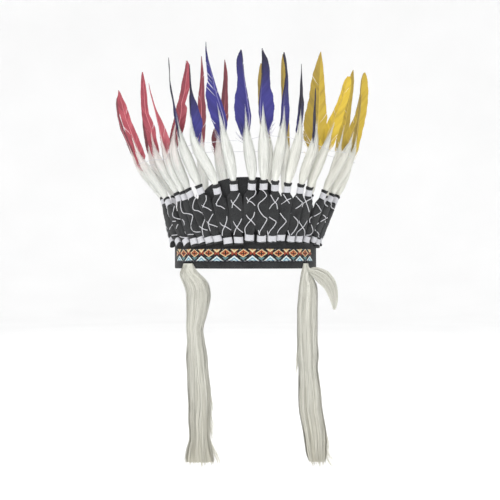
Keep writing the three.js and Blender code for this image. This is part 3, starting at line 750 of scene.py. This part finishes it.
def ribbon_finish():
    """Diamonds between rows of triangles on black, stepped by the threads of the weave."""
    ribbon = Finish("woven_ribbon", Specular_IOR_Level=0.3, Sheen_Weight=0.1)
    raw_x, raw_y = ribbon.attribute("repeat") * 22.0, ribbon.attribute("high") * TRIM_WIDTH
    x = (raw_x / 0.6).math("FLOOR") * 0.6 + 0.3
    y = (raw_y / 0.6).math("FLOOR") * 0.6 + 0.3
    x = x.math("PINGPONG", 11.0)  # 0 at a diamond's middle, 11 halfway to the next
    rise = (y - 10.4).math("ABSOLUTE")
    diamond = x / 7.6 + rise / 5.2
    aside = 11.0 - x
    upper = aside / 5.6 + (16.0 - y) / 5.0
    lower = aside / 7.4 + (y - 1.6) / 5.8
    under = x / 4.4 + (5.4 - y) / 3.8
    colour = ribbon.mix(diamond < 1.0, (22, 20, 24), (222, 204, 158))
    colour = ribbon.mix(diamond < 0.78, colour, (168, 74, 44))
    colour = ribbon.mix(diamond < 0.46, colour, (214, 132, 74))
    cross = (x < 0.8).math("MAXIMUM", rise < 0.7) * (diamond < 0.52)
    colour = ribbon.mix(cross, colour, (26, 20, 24))
    bow = (rise < aside * 0.8 + 0.4) * (aside < 3.2)
    colour = ribbon.mix(bow, colour, (150, 62, 42))
    colour = ribbon.mix(upper < 1.0, colour, (226, 206, 158))
    colour = ribbon.mix(upper < 0.5, colour, (188, 140, 96))
    colour = ribbon.mix(lower < 1.0, colour, (220, 230, 226))
    colour = ribbon.mix(lower < 0.68, colour, (112, 156, 178))
    colour = ribbon.mix(lower < 0.3, colour, (196, 222, 226))
    colour = ribbon.mix((under < 1.0) * (y < 5.4), colour, (96, 132, 136))
    border = (y < 1.3).math("MAXIMUM", y > 15.4)
    colour = ribbon.mix(border, colour, (30, 32, 48))
    warp = (raw_x * 10.47).math("SINE") * 0.5 + 0.5
    weft = (raw_y * 10.47).math("SINE") * 0.5 + 0.5
    colour = ribbon.mix(warp * weft * 0.25, colour, (20, 18, 20))
    return ribbon.surface(colour, 0.75, warp * 0.5 + weft, 0.5, 0.0004)


def studio_finish():
    paper = Finish("studio_paper", Specular_IOR_Level=0.1)
    grain = paper.noise(paper.place(), 3, 2)
    return paper.surface(paper.ramp(grain, (0.3, (243, 243, 243)), (0.7, (246, 246, 246))), 0.9)


# ---- headband and ribbon ----


def headband(felt):
    """A round wall of felt with rounded edges; its top edge and its face wander a little, as cut by hand."""
    rng = np.random.default_rng(11)
    deg = np.arange(-180, 180, BAND_STEP)
    high = smooth_column(TOP_EDGE, "deg", "high", deg)
    waves = [(k, rng.uniform(0, 2 * np.pi)) for k in (3, 7, 13, 29)]
    wobble = sum(np.sin(np.radians(deg) * k + p) / k for k, p in waves)
    high = high + wobble * 0.8
    rows, corner = 26, 4
    up = np.linspace(0, 1, rows)
    edge = np.linspace(0, np.pi, corner + 2)[1:-1]
    rise = np.concatenate((up, np.ones(corner), up[::-1], np.zeros(corner)))
    wall = np.zeros(rows)
    bulge = np.concatenate((wall, np.sin(edge), wall, -np.sin(edge))) * FELT / 2
    depth = np.concatenate((wall, (1 - np.cos(edge)) / 2, wall + 1, (1 + np.cos(edge)) / 2)) * FELT
    z = high[:, None] * rise[None, :] + bulge[None, :]
    lean = stem_lean(deg)[:, None]
    dents = 0.35 * np.sin(np.radians(deg)[:, None] * 9 + z * 0.06) * np.clip(z / 40, 0, 1)
    radius = BAND_R - 0.2 + lean * np.maximum(0, z - FLARE_Z) - depth[None, :] - np.abs(dents)
    skin = Skin()
    skin.add(ring_point(deg[:, None], radius, z), grid_faces(*z.shape, round_rows=True, round_columns=True))
    made = skin.piece("felt_band", felt, "felt")
    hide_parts("headband_felt")
    step = math.radians(BAND_STEP) * (BAND_R + 4) * MM
    float(high.sum() * MM * step)
    return made


def trim_ribbon(woven, thread):
    """The ribbon's front, back and edges, wound on the angle so that the motif follows it."""
    share = np.linspace(0, 1, 160)
    deg = TRIM_LEFT + (TRIM_RIGHT - TRIM_LEFT) * share
    rows = 14
    up = np.linspace(0, 1, rows)
    rise = np.concatenate((up, up[::-1]))
    out = np.concatenate((np.full(rows, TRIM_THICK), np.zeros(rows)))
    cut = deg[:, None] - TRIM_SLANT * share[:, None] * rise[None, :]
    wave = 0.25 * np.sin(np.radians(deg) * 21)[:, None]
    z = TRIM_Z + TRIM_WIDTH * rise[None, :] + wave
    radius = BAND_R + GAP + out[None, :] + 0 * z
    skin = Skin()
    values = {"repeat": (cut - TRIM_START) / TRIM_REPEAT, "high": rise[None, :] + 0 * z}
    ends = (end_faces(rows)[:, ::-1], end_faces(rows) + z.size - z.shape[1])
    faces = np.concatenate((grid_faces(*z.shape, round_columns=True), *ends))
    skin.add(ring_point(cut, radius, z), faces, **values)
    made = skin.piece("jacquard_ribbon", woven, "ribbon")
    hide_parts("trim_ribbon")
    stitches = Skin()
    for edge in (0.7, TRIM_WIDTH - 0.7):
        for start in np.arange(TRIM_LEFT + 1, TRIM_RIGHT - 6, 3.4):
            at = np.linspace(start, start + 1.5, 5)
            lift = BAND_R + GAP + TRIM_THICK + 0.25 * np.sin(np.linspace(0, np.pi, 5))
            add_tube(stitches, ring_point(at, lift, TRIM_Z + edge), STITCH_R, 5)
    stitches.piece("ribbon_stitches", thread, "ribbon")


def end_faces(count):
    """Quads that close the end of a strip whose section goes up one side and down the other."""
    low = np.arange(count - 1)
    return np.stack((low, low + 1, 2 * count - 2 - low, 2 * count - 1 - low), axis=-1)


# ---- stems and thread ----


def beside(plume, plumes):
    """Half of the distance from a stem to its neighbour on either side, at its foot and at its top."""
    halves = {}
    for end, part in (("foot", 0.0), ("top", 1.0)):
        here = stem_point(plume, part)
        level = np.array([here[1], -here[0], 0]) / math.hypot(here[0], here[1])
        away = np.array([stem_point(other, part) - here for other in plumes if other is not plume])
        for side in (-1, 1):
            there = away[(away @ level) * side > 0]
            halves[end, side] = np.linalg.norm(there, axis=1).min() / 2
    return halves


def stem_section(plume, part, angle, proud=0.0):
    """Points on a stem's felt: part runs along it, and angle goes round it with 90 facing outwards."""
    part, angle = np.broadcast_arrays(np.asarray(part, float), np.asarray(angle, float))
    turn = np.radians(angle)
    centre = stem_point(plume, part)
    along = unit(stem_point(plume, part + 0.05) - stem_point(plume, part - 0.05))
    outwards = centre * [1, 1, 0]
    across = unit(np.cross(outwards, along))
    through = np.cross(along, across)
    rise, fall = np.clip((part - 0.07) / 0.14, 0, 1), np.clip((0.915 - part) / 0.13, 0, 1)
    belly = np.minimum(rise, fall) ** 2 * (3 - 2 * np.minimum(rise, fall))
    bound = (5.1 - 0.9 * part) * (0.82 if plume["name"] in SLIM_STEMS else 1)
    side = np.where(np.cos(turn) < 0, -1, 1)
    halves = plume["beside"]
    foot, top = (np.where(side < 0, halves[end, -1], halves[end, 1]) for end in ("foot", "top"))
    free = np.clip((foot + (top - foot) * part) * 1.08, 5.2, 9.2)
    half = bound + (free - bound) * belly + proud
    deep = 2.7 + 0.7 * belly + proud
    round_off = np.abs(np.cos(turn)) ** 0.8 * np.sign(np.cos(turn))
    return centre + across * (half * round_off)[..., None] + through * (deep * np.sin(turn))[..., None]


def stems(plumes, name, node, felt, thread):
    """Felt tubes, tied at both ends, with a slack lip left open above the upper binding."""
    skin, threads = Skin(), Skin()
    rows, sides, lip = 40, 28, 6
    for number, plume in enumerate(plumes):
        rng = np.random.default_rng(100 + number)
        part = np.linspace(-STEM_FOOT, 1 + STEM_FOOT, rows)[:, None]
        angle = np.linspace(0, 360, sides, endpoint=False)[None, :]
        lump = 0.2 * np.sin(np.radians(angle) * 3 + part * 9 + number) + rng.normal(0, 0.04, (rows, sides))
        pucker = 0.3 * np.sin(np.radians(angle) * 8 + number) * np.exp(-(((part - 1.06) / 0.07) ** 2))
        flare = 1.1 * np.clip((part - 1.04) / 0.04, 0, 1) + 0.7 * np.clip((-0.03 - part) / 0.06, 0, 1)
        rings = stem_section(plume, part, angle, lump + pucker + flare)
        skin.add(rings, grid_faces(rows, sides, round_columns=True))
        inner = stem_section(plume, part[-lip:], angle, -0.5)
        skin.add(np.concatenate((rings[-1:], inner[::-1])), grid_faces(lip + 1, sides, round_columns=True))
        skin.add(rings[0], [np.arange(sides)[::-1]])
        for place in (0.0, 0.975):
            add_binding(threads, plume, place, 8, rng)
    piece = skin.piece(name + "_felt", felt, "stem_felt")
    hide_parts(node)
    return threads


def add_binding(skin, plume, place, turns, rng):
    """Turns of thread wound side by side round a stem."""
    length = np.linalg.norm(stem_point(plume, 1.0) - stem_point(plume, 0.0))
    rows, sides = 6, 24
    height = turns * THREAD / length
    step = np.linspace(-0.5, 0.5, turns * rows + 1)
    round_turn = np.abs(np.sin(np.linspace(0, turns * np.pi, turns * rows + 1))) ** 0.6
    swell = 0.35 + 0.42 * round_turn + rng.normal(0, 0.05, turns * rows + 1)
    swell[[0, -1]] = -0.3
    angle = np.linspace(0, 360, sides, endpoint=False)
    tilt = rng.uniform(0.02, 0.07) * np.cos(np.radians(angle + rng.uniform(0, 360)))
    part = place + step[:, None] * height + tilt[None, :] * height
    pinched = stem_section(plume, np.where(part > 0.5, 1.0, 0.0), angle[None, :], swell[:, None])
    shift = stem_point(plume, part) - stem_point(plume, np.where(part > 0.5, 1.0, 0.0))
    skin.add(pinched + shift, grid_faces(len(step), sides, round_columns=True))


def laced_surface(deg, z, plumes):
    """The outer surface of the row of stems, with the hollows between them partly bridged."""
    out = np.full(len(deg), 1.2)
    for plume in plumes:
        part = (z - plume["footZ"]) / (plume["topZ"] - plume["footZ"])
        centre = plume["foot"] + (plume["top"] - plume["foot"]) * part
        away = np.radians((deg - centre + 180) % 360 - 180) * (STEM_R + 15)
        out = np.maximum(out, 3.3 * np.sqrt(np.clip(1 - (away / 8.2) ** 2, 0, 1)))
    return ring_point(deg, STEM_R + stem_lean(deg) * np.maximum(0, z - STEM_Z) + out + 0.45, z)


def lacing(front, back, threads_front, threads_back):
    """White thread laid over the felt in zigzags, crosses and steps."""
    for knots in LACING:
        flat = np.column_stack((knots, np.zeros(len(knots))))
        path = spline(flat, np.linspace(0, len(knots) - 1, 9 * len(knots)))
        add_tube(threads_front, laced_surface(path[:, 0], path[:, 1], front), LACE_R, 7)
    for number, plume in enumerate(back):
        ways = BACK_LACING[number % len(BACK_LACING)]
        for knots in ways:
            part, side = np.array(knots).T
            deg = plume["foot"] + (plume["top"] - plume["foot"]) * part + side * (4.6 - 1.4 * part)
            z = plume["footZ"] + (plume["topZ"] - plume["footZ"]) * part
            path = spline(np.column_stack((deg, z, 0 * z)), np.linspace(0, len(knots) - 1, 9 * len(knots)))
            add_tube(threads_back, laced_surface(path[:, 0], path[:, 1], back), LACE_R, 7)


# ---- down and feathers ----


def fluff(plume, number, down):
    """A soft core and the fine barbs that lie over it, longest at the top."""
    rng = np.random.default_rng(200 + number)
    knots = plume_knots(plume)
    knots[2:] = shaft_point(plume, np.array([2.0, 0.75 * (plume["tipZ"] - plume["rootZ"])]))
    facing = unit((knots[1] + knots[2]) * [1, 1, 0])
    cream = float(np.clip(math.sin(math.radians(plume["root"])) * 1.4, 0, 1))
    blush = 1.0 if plume["dye"] == "red" else 0.0

    def shell(share, angle, size):
        centre, _, across, through = run(knots, 1 + share, facing)
        wide = smooth_column(FLUFF, "along", "wide", share) * FLUFF_WIDE / 2 * size
        deep = smooth_column(FLUFF, "along", "deep", share) * FLUFF_WIDE / 2 * size
        level, inwards = np.cos(angle), np.sin(angle)
        point = centre + across * (wide * level)[..., None] + through * (deep * inwards)[..., None]
        return point, across * level[..., None] + through * inwards[..., None]

    skin = Skin()
    rows, sides = 22, 18
    share = np.linspace(0, 1.1, rows)[:, None]
    angle = np.linspace(0, 2 * np.pi, sides, endpoint=False)[None, :]
    ridges = 0.88 - 1.6 * np.clip(share - 0.72, 0, 1) + 0.03 * np.sin(angle * 7 + number)
    ridges = ridges + rng.normal(0, 0.012, (rows, sides))
    core, _ = shell(share + 0 * angle, angle + 0 * share, ridges)
    high = np.clip((share - 0.75) * 3, 0, 1) * blush
    faces = grid_faces(rows, sides, round_columns=True)
    skin.add(core, faces, shade=0.5, cream=cream, blush=high + 0 * angle)
    skin.add(core[-1], [np.arange(sides)], shade=0.5, cream=cream, blush=blush)

    count, steps = 480, 8
    start = rng.uniform(0.0, 0.76, count)
    end = np.minimum(start + rng.uniform(0.3, 0.62, count), rng.uniform(0.98, 1.26, count))
    t = np.linspace(0, 1, steps)
    share = start[:, None] + (end - start)[:, None] * t[None, :]
    angle = rng.uniform(0, 2 * np.pi, count)[:, None]
    angle = angle + rng.normal(0, 0.25, count)[:, None] * (share - start[:, None])
    lift = rng.uniform(0.86, 1.0, count)[:, None] + rng.uniform(0, 0.16, count)[:, None] * t**2
    paths, normals = shell(share, angle, lift)
    shade = rng.uniform(0, 1, count)
    tint = np.clip((end - 0.9) * 4, 0, 1) * blush
    values = {"shade": shade, "cream": np.full(count, cream), "blush": tint}
    add_strands(skin, paths, normals, rng.uniform(0.35, 0.7, count), **values)
    add_wisps(skin, plume, rng, shell, cream, blush)
    made = skin.piece("fluff_" + plume["name"], down, "down")
    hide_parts("down_" + plume["name"])


def add_wisps(skin, plume, rng, shell, cream, blush):
    """Fine white barbs that run on from the fluff over the foot of the vane."""
    count, steps = 190, 9
    start = rng.uniform(0.6, 0.96, count)
    end = start + rng.uniform(0.2, 0.56, count)
    share = start[:, None] + (end - start)[:, None] * np.linspace(0, 1, steps)[None, :]
    angle = rng.uniform(0, 2 * np.pi, count)[:, None] + 0 * share
    size = rng.uniform(0.45, 1.05, count)[:, None] * (1 - 0.35 * np.linspace(0, 1, steps))[None, :]
    paths, normals = shell(share, angle, size)
    tint = np.clip((end - 1.0) * 3, 0, 1) * blush
    values = {"shade": rng.uniform(0.4, 1, count), "cream": np.full(count, cream * 0.6), "blush": tint}
    add_strands(skin, paths, normals, rng.uniform(0.22, 0.42, count), **values)


def feather_line(plume):
    """A feather's line by height, carried on past its tip, and the level direction across its vane."""
    knots = plume_knots(plume)
    line = spline(knots, np.linspace(1.5, 3, 60))
    line = np.concatenate((line, [line[-1] + (line[-1] - line[-3]) * 3]))
    face = math.radians(plume["face"])
    flat = math.copysign(max(abs(math.cos(face)), EDGE_ON), math.cos(face))
    across = np.array([abs(flat), math.sin(face) * math.copysign(1, flat), 0.0])
    return line, across, ring_point(plume["face"], 1.0, 0.0)


def outline(plume):
    """A vane's outline: its own, or the plain one at this feather's length and width."""
    if plume["name"] in OUTLINES:
        return np.array(OUTLINES[plume["name"]], float)
    length = plume["tipZ"] - plume["rootZ"]
    return np.array(PLAIN_OUTLINE) * [length, 1, plume["wide"], plume["wide"]]


def shaft_point(plume, up):
    """Places on the shaft, by height above the feather's foot."""
    line, _, _ = feather_line(plume)
    cut = outline(plume)
    z = plume["rootZ"] + np.asarray(up, float)
    sway = np.interp(up, cut[:, 0], cut[:, 1])
    x, y = np.interp(z, line[:, 2], line[:, 0]) + sway, np.interp(z, line[:, 2], line[:, 1])
    return np.stack((x, y, z), axis=-1)


def rounded(cut, column_number, up):
    """The outline's reach with its corners softened, and never past the outline's own ends."""
    near = np.clip(np.asarray(up)[..., None] + np.array([-1.6, -0.8, 0, 0.8, 1.6]), cut[0, 0], cut[-1, 0])
    return np.interp(near, cut[:, 0], cut[:, column_number]).mean(axis=-1)


def vane_side(skin, plume, side, rng):
    """One side of a vane: barbs that leave the shaft at a slant and end on the vane's outline."""
    count, steps = 110, 8
    cut = outline(plume)
    _, across, facing = feather_line(plume)
    low, high = cut[0, 0], cut[-1, 0]
    reach_column = 2 if side < 0 else 3
    foot = np.linspace(low - 9, high - 0.6, count + 1)
    edge = foot.copy()
    for _ in range(4):
        edge = np.minimum(foot + 1.25 * rounded(cut, reach_column, edge) + 1.5, high)
    foot, edge = (np.stack((row[:-1], row[1:]), axis=1) for row in (foot, edge))
    share = np.clip((foot[:, 0] - low) / (high - low), 0, 1)
    split = rng.random(count) < np.where(share < 0.06, 0.08, plume["splits"])
    gap = split * rng.uniform(0.5, 1.6, count) * (1 + 1.2 * (share < 0.1))
    out = np.linspace(0, 1, steps)
    end = np.stack((edge[:, 0], edge[:, 1] - gap), axis=1)
    up = foot[..., None] + (end - foot)[..., None] * out ** 1.15
    trim = 1 - split * rng.uniform(0, 0.12, count)
    reach = rounded(cut, reach_column, edge) * trim[:, None]
    waver = 1 + 0.02 * np.sin(edge * 0.45 + side) + 0.012 * np.sin(edge * 1.7)
    reach = (reach * waver)[..., None] * out ** 0.9
    droop = -0.14 * reach + 0.25 * np.sin(up * 0.21 + side * 2) * out
    points = shaft_point(plume, up) + across * (side * reach)[..., None] + facing * droop[..., None]
    shape = (count, 2, steps)
    first = np.arange(count)[:, None] * 2 * steps + np.arange(steps - 1)[None, :]
    faces = np.stack((first, first + 1, first + steps + 1, first + steps), axis=-1).reshape(-1, 4)
    lock = np.convolve(rng.normal(0, 1, count + 8), np.hanning(9) / 4, "valid")[:count]
    # random tone per lock of barbs, plus painted shade: the -X half a little darker and the +X half a little
    # lighter
    shade = 0.5 + 0.16 * lock + rng.normal(0, 0.05, count) + 0.06 * side
    row = np.arange(count)[:, None, None] + np.array([0, 1])[None, :, None]
    values = {
        "along": (up - low) / (high - low), "reach": np.broadcast_to(out, shape),
        "row": np.broadcast_to(row, shape), "shade": np.broadcast_to(shade[:, None, None], shape),
    }
    # each half vane carries its left or right value, partly dye depth and partly painted shade
    skin.add(points, faces, tone=plume["left" if side < 0 else "right"], dark=plume["dark"], **values)


def feather(plume, number, vane, shaft):
    rng = np.random.default_rng(300 + number)
    cut = outline(plume)
    low, high = cut[0, 0], cut[-1, 0]
    skin = Skin()
    for side in (1, -1):
        vane_side(skin, plume, side, rng)
    add_loose_barbs(skin, plume, rng)
    made = skin.piece("vane_" + plume["name"], vane, "feather_" + plume["dye"])
    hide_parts("feather_" + plume["name"])
    quill = Skin()
    up = np.linspace(low - 12, high - 1, 40)
    share = np.linspace(0, 1, 40)
    path = shaft_point(plume, up) + ring_point(plume["face"], 0.3, 0.0)
    shown = max(abs(math.cos(math.radians(plume["face"]))), EDGE_ON)
    widest = cut[:, 2:].sum(axis=1).max() * shown
    thick = min(0.62, 0.08 * widest)
    add_shaft(quill, path, thick * (1 - share) ** 0.7 + 0.08, np.repeat(share, 6), plume["dark"])
    quill.piece("quill_" + plume["name"], shaft, "feather_" + plume["dye"])


def add_shaft(skin, path, radius, share, dark):
    along = unit(np.gradient(path, axis=0))
    across = unit(np.cross(along, [[0.3, 1.0, 0.1]]))
    through = np.cross(along, across)
    turn = np.linspace(0, 2 * np.pi, 6, endpoint=False)[None, :, None]
    out = across[:, None] * np.cos(turn) + through[:, None] * np.sin(turn)
    rings = path[:, None] + radius[:, None, None] * out
    skin.add(rings, grid_faces(len(path), 6, round_columns=True), along=share, dark=dark)


def add_loose_barbs(skin, plume, rng):
    """Loose barbs at the foot of the vane, which the dye hardly reached."""
    count, steps = 70, 8
    cut = outline(plume)
    low, high = cut[0, 0], cut[-1, 0]
    _, across, facing = feather_line(plume)
    start = low + rng.uniform(-12, 6, count)
    t = np.linspace(0, 1, steps)[None, :]
    up = start[:, None] + rng.uniform(9, 22, count)[:, None] * t
    side = rng.choice((-1, 1), count)[:, None]
    widest = np.where(side < 0, cut[:, 2].max(), cut[:, 3].max())
    spread_out = rng.uniform(0.15, 0.95, count)[:, None] * widest * t**0.85
    lift = rng.normal(0.4, 0.7, count)[:, None] * t
    paths = shaft_point(plume, up) + across * (side * spread_out)[..., None] + facing * lift[..., None]
    normals = facing + across * rng.normal(0, 0.3, count)[:, None, None]
    values = {"row": rng.uniform(0, 9, count), "shade": rng.uniform(0.3, 0.9, count)}
    values["reach"] = np.zeros(count)
    # the loose barbs take the +X half's value, partly dye depth and partly painted shade
    values.update(tone=np.full(count, plume["right"]), dark=np.full(count, plume["dark"]))
    values["along"] = (start + 9 - low) / (high - low) * 0.6
    add_strands(skin, paths, normals, rng.uniform(0.25, 0.5, count), **values)


def spacer_thread(thread):
    """One thread sewn through the foot of every feather, so that they stand evenly round the ring."""
    skin = Skin()
    ordered = sorted(PLUMES, key=lambda plume: plume["root"])
    spots = []
    for plume in ordered:
        knots = plume_knots(plume)
        centre, _, across, through = run(knots, 1.93, unit(knots[2] * [1, 1, 0]))
        wide = across * FLUFF_WIDE * 0.3
        spots += [centre + wide + through * 1.6, centre + through * 3.4, centre - wide + through * 1.6]
    spots.append(spots[0])
    steps = np.linspace(0, len(spots) - 1, 4 * (len(spots) - 1) + 1)
    low = np.minimum(steps.astype(int), len(spots) - 2)
    spots = np.array(spots)
    path = spots[low] + (spots[low + 1] - spots[low]) * (steps - low)[:, None]
    add_tube(skin, path, SPACER_R, 5)
    skin.piece("spacer_thread", thread, "stem_felt")


# ---- tassels ----


def tassel_shell(name, drop, angle, size):
    """Points on a tassel's outer form, and the directions out of it."""
    rows, deg = TASSELS[name], TASSEL_AT[name]
    flat = 1 - np.clip(drop / TASSEL_TURN, 0, 1)
    outwards, across = ring_point(deg * flat, 1.0, 0.0 * drop), ring_point(deg * flat + 90, 1.0, 0.0 * drop)
    shift = smooth_column(rows, "drop", "shift", drop)
    centre = ring_point(deg, TASSEL_R, 0.0) + np.stack((shift, 0 * drop, -drop), axis=-1)
    wide = smooth_column(rows, "drop", "wide", drop) / 2 * size * np.cos(angle)
    deep = smooth_column(rows, "drop", "deep", drop) / 2 * size * np.sin(angle)
    point = centre + across * wide[..., None] + outwards * deep[..., None]
    return point, unit(across * np.cos(angle)[..., None] + outwards * np.sin(angle)[..., None])


def tassel(name, seed, fur):
    rng = np.random.default_rng(seed)
    longest = TASSELS[name][-1]["drop"]
    skin = Skin()
    rows, sides = 60, 26
    drop = np.linspace(TASSELS[name][0]["drop"], longest - 4, rows)[:, None]
    angle = np.linspace(0, 2 * np.pi, sides, endpoint=False)[None, :]
    ridges = 0.88 + 0.035 * np.sin(angle * 9 + drop * 0.02) + rng.normal(0, 0.008, (rows, sides))
    core, _ = tassel_shell(name, drop + 0 * angle, angle + 0 * drop, ridges)
    faces = grid_faces(rows, sides, round_columns=True)
    # painted shade: the core under the strands, and its end caps, are set darker than the strands, like shade
    # in the gaps between them
    skin.add(core, faces, shade=0.35, fall=drop / longest + 0 * angle)
    for end, order in ((0, 1), (-1, -1)):
        skin.add(core[end], [np.arange(sides)[::order]], shade=0.3, fall=abs(end))

    count, steps = 2600, 12
    start = rng.uniform(0, 1, count) ** 1.1 * (longest - 50) - 5
    end = np.minimum(start + rng.uniform(60, 120, count), longest + rng.normal(-3, 4, count))
    t = np.linspace(0, 1, steps)[None, :]
    drop = start[:, None] + (end - start)[:, None] * t
    locks = rng.uniform(0, 2 * np.pi, 22)
    own = rng.uniform(0, 2 * np.pi, count)
    apart = (locks[None, :] - own[:, None] + np.pi) % (2 * np.pi) - np.pi
    pull = apart[np.arange(count), np.abs(apart).argmin(axis=1)]
    wave = 0.05 * np.sin(drop * 0.05 + own[:, None] * 2)
    angle = own[:, None] + pull[:, None] * 0.55 * t + wave
    lift = rng.uniform(0.88, 1.01, count)[:, None] + rng.uniform(-0.02, 0.07, count)[:, None] * t**2
    paths, normals = tassel_shell(name, drop, angle, lift)
    shade = np.clip(rng.normal(0.5, 0.25, count) + 0.12 * np.sin(own * 9), 0, 1)
    width = rng.uniform(0.35, 0.75, count)
    add_strands(skin, paths, normals, width, shade=shade, fall=(start + end) / 2 / longest)
    if name == "right":
        add_wisp(skin, rng)
    for stray in STRAYS:
        if stray["tassel"] == name:
            add_stray(skin, stray, longest, rng)
    made = skin.piece("fur_tassel_" + name, fur, "fur")
    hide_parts("tassel_" + name)


def add_wisp(skin, rng):
    """The lock of fur that springs outwards from where the right tassel is sewn on."""
    foot = ring_point(TASSEL_AT["right"], TASSEL_R, 0.0)
    spine = np.array([foot + [row["out"], 0, -row["drop"]] for row in WISP])
    spine = np.concatenate(([foot + [0, 0, 3]], spine))
    half = np.array([2.0] + [row["wide"] / 2 for row in WISP])
    count, steps = 620, 12
    start, end = rng.uniform(0, 2.5, count), np.minimum(rng.uniform(4.6, 7.4, count), 7.0)
    at = start[:, None] + (end - start)[:, None] * np.linspace(0, 1, steps)[None, :]
    centre, _, across, _ = run(spine, at, np.array([0.0, -1.0, 0.0]))
    wide = np.interp(at, np.arange(len(half)), half)
    place = np.clip(rng.normal(0, 0.45, count), -1, 1)[:, None]
    depth = rng.normal(0, 0.22, count)[:, None] * wide
    paths = centre + across * (wide * place)[..., None] + np.array([0, 1.0, 0]) * depth[..., None]
    normals = np.array([0, -1.0, 0]) + across * rng.normal(0, 0.4, count)[:, None, None]
    width = rng.uniform(0.35, 0.7, count)
    add_strands(skin, paths, normals, width, shade=rng.uniform(0.3, 1, count), fall=np.full(count, 0.1))


def add_stray(skin, stray, longest, rng):
    count, steps = 26, 9
    side = 1 if stray["out"] > 0 else -1
    edge = 0.0 if side > 0 else np.pi
    start = stray["drop"] + rng.uniform(-10, 4, count) - 6
    t = np.linspace(0, 1, steps)[None, :]
    drop = start[:, None] + (stray["reach"] + 10) * t * rng.uniform(0.8, 1.1, count)[:, None]
    drop = np.minimum(drop, longest + 2)
    angle = edge + rng.normal(0, 0.25, count)[:, None] + 0 * t
    size = 0.95 + 0 * drop
    paths, normals = tassel_shell(stray["tassel"], drop, angle, size)
    body = smooth_column(TASSELS[stray["tassel"]], "drop", "wide", drop) / 2
    push = np.clip(abs(stray["out"]) - body, 0, None) * t**1.6
    push = push * rng.uniform(0.5, 1.05, count)[:, None] * side
    paths = paths + np.array([1.0, 0, 0]) * push[..., None]
    shade = rng.uniform(0.3, 1, count)
    normals = np.array([0.2, -1.0, 0.1]) + 0 * normals
    fall = np.full(count, stray["drop"] / longest)
    add_strands(skin, paths, normals, rng.uniform(0.25, 0.45, count), shade=shade, fall=fall)


# ---- stage, lights and camera ----


def stage(paper):
    """A pale floor under the tassels that sweeps up all round, far away, so no edge of it shows."""
    floor_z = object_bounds()[0][2] - 0.012
    turn = np.linspace(0, 2 * np.pi, 96, endpoint=False)
    bend = np.linspace(0, np.pi / 2, 10)
    radius = np.concatenate(([0.0, 2.0], 5.0 + 1.5 * np.sin(bend), [6.5]))
    high = np.concatenate(([0, 0], 1.5 * (1 - np.cos(bend)), [4.5]))
    rings = np.stack((
        radius[:, None] * np.cos(turn), radius[:, None] * np.sin(turn), high[:, None] + 0 * turn,
    ), axis=-1)
    mesh = bpy.data.meshes.new("sweep")
    faces = grid_faces(len(radius), len(turn), round_columns=True).tolist()
    mesh.from_pydata((rings + [0, 0, floor_z]).reshape(-1, 3).tolist(), [], faces)
    mesh.polygons.foreach_set("use_smooth", np.ones(len(faces), bool))
    mesh.materials.append(paper)
    sweep = bpy.data.objects.new("sweep", mesh)
    bpy.context.collection.objects.link(sweep)
    sweep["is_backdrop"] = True


def area_light(name, place, size, power):
    lamp = bpy.data.lights.new(name, "AREA")
    lamp.shape, lamp.size, lamp.energy = "DISK", size, power
    made = bpy.data.objects.new(name, lamp)
    made.location = place
    aim = -np.array(place)
    level = math.hypot(aim[0], aim[1])
    made.rotation_euler = (math.atan2(level, -aim[2]), 0, math.atan2(aim[1], aim[0]) - math.pi / 2)
    bpy.context.collection.objects.link(made)


def lights():
    area_light("key", (-1.6, -2.6, 1.8), 1.6, 36)
    area_light("fill", (2.4, -2.2, 0.9), 2.0, 14)
    area_light("top", (0.0, 0.6, 2.6), 1.8, 16)
    area_light("rear", (0.6, 2.8, 1.4), 1.8, 8)
    world = bpy.data.worlds.new("studio")
    world.use_nodes = True
    world.node_tree.nodes["Background"].inputs["Color"].default_value = (1, 1, 1, 1)
    world.node_tree.nodes["Background"].inputs["Strength"].default_value = 1.12
    bpy.context.scene.world = world
    bpy.context.scene.view_settings.view_transform = "Standard"


def camera():
    """Level with the headband and far off, looking straight at the brow."""
    eye = bpy.data.cameras.new("eye")
    eye.lens = 116.3
    eye.sensor_width = 36
    eye.shift_y = 0.016
    made = bpy.data.objects.new("eye", eye)
    made.location = (0.0058, -2.1, 0.0124)
    made.rotation_euler = (math.radians(90), 0, 0)
    bpy.context.collection.objects.link(made)
    bpy.context.scene.camera = made


# ---- the whole headdress ----

camera()
lights()
stage(studio_finish())

felt, thread, down, fur = felt_finish(), thread_finish(), down_finish(), fur_finish()
vanes = {dye: vane_finish(dye) for dye in DYES}
shafts = {dye: shaft_finish(dye) for dye in DYES}

band = headband(felt)
trim_ribbon(ribbon_finish(), thread)
front = [plume for plume in PLUMES if plume["name"].startswith("front")]
back = [plume for plume in PLUMES if plume["name"].startswith("back")]
for plume in PLUMES:
    plume["beside"] = beside(plume, PLUMES)
    plume["splits"] = 0.06 if plume["name"] == SPLIT_VANE else 0.008
front_threads = stems(front, "front_stems", "stems_front", felt, thread)
back_threads = stems(back, "back_stems", "stems_back", felt, thread)
lacing(front, back, front_threads, back_threads)
front_threads.piece("front_stem_thread", thread, "stem_felt")
back_threads.piece("back_stem_thread", thread, "stem_felt")
for number, plume in enumerate(PLUMES):
    fluff(plume, number, down)
    feather(plume, number, vanes[plume["dye"]], shafts[plume["dye"]])
spacer_thread(thread)
tassel("left", 41, fur)
tassel("right", 42, fur)
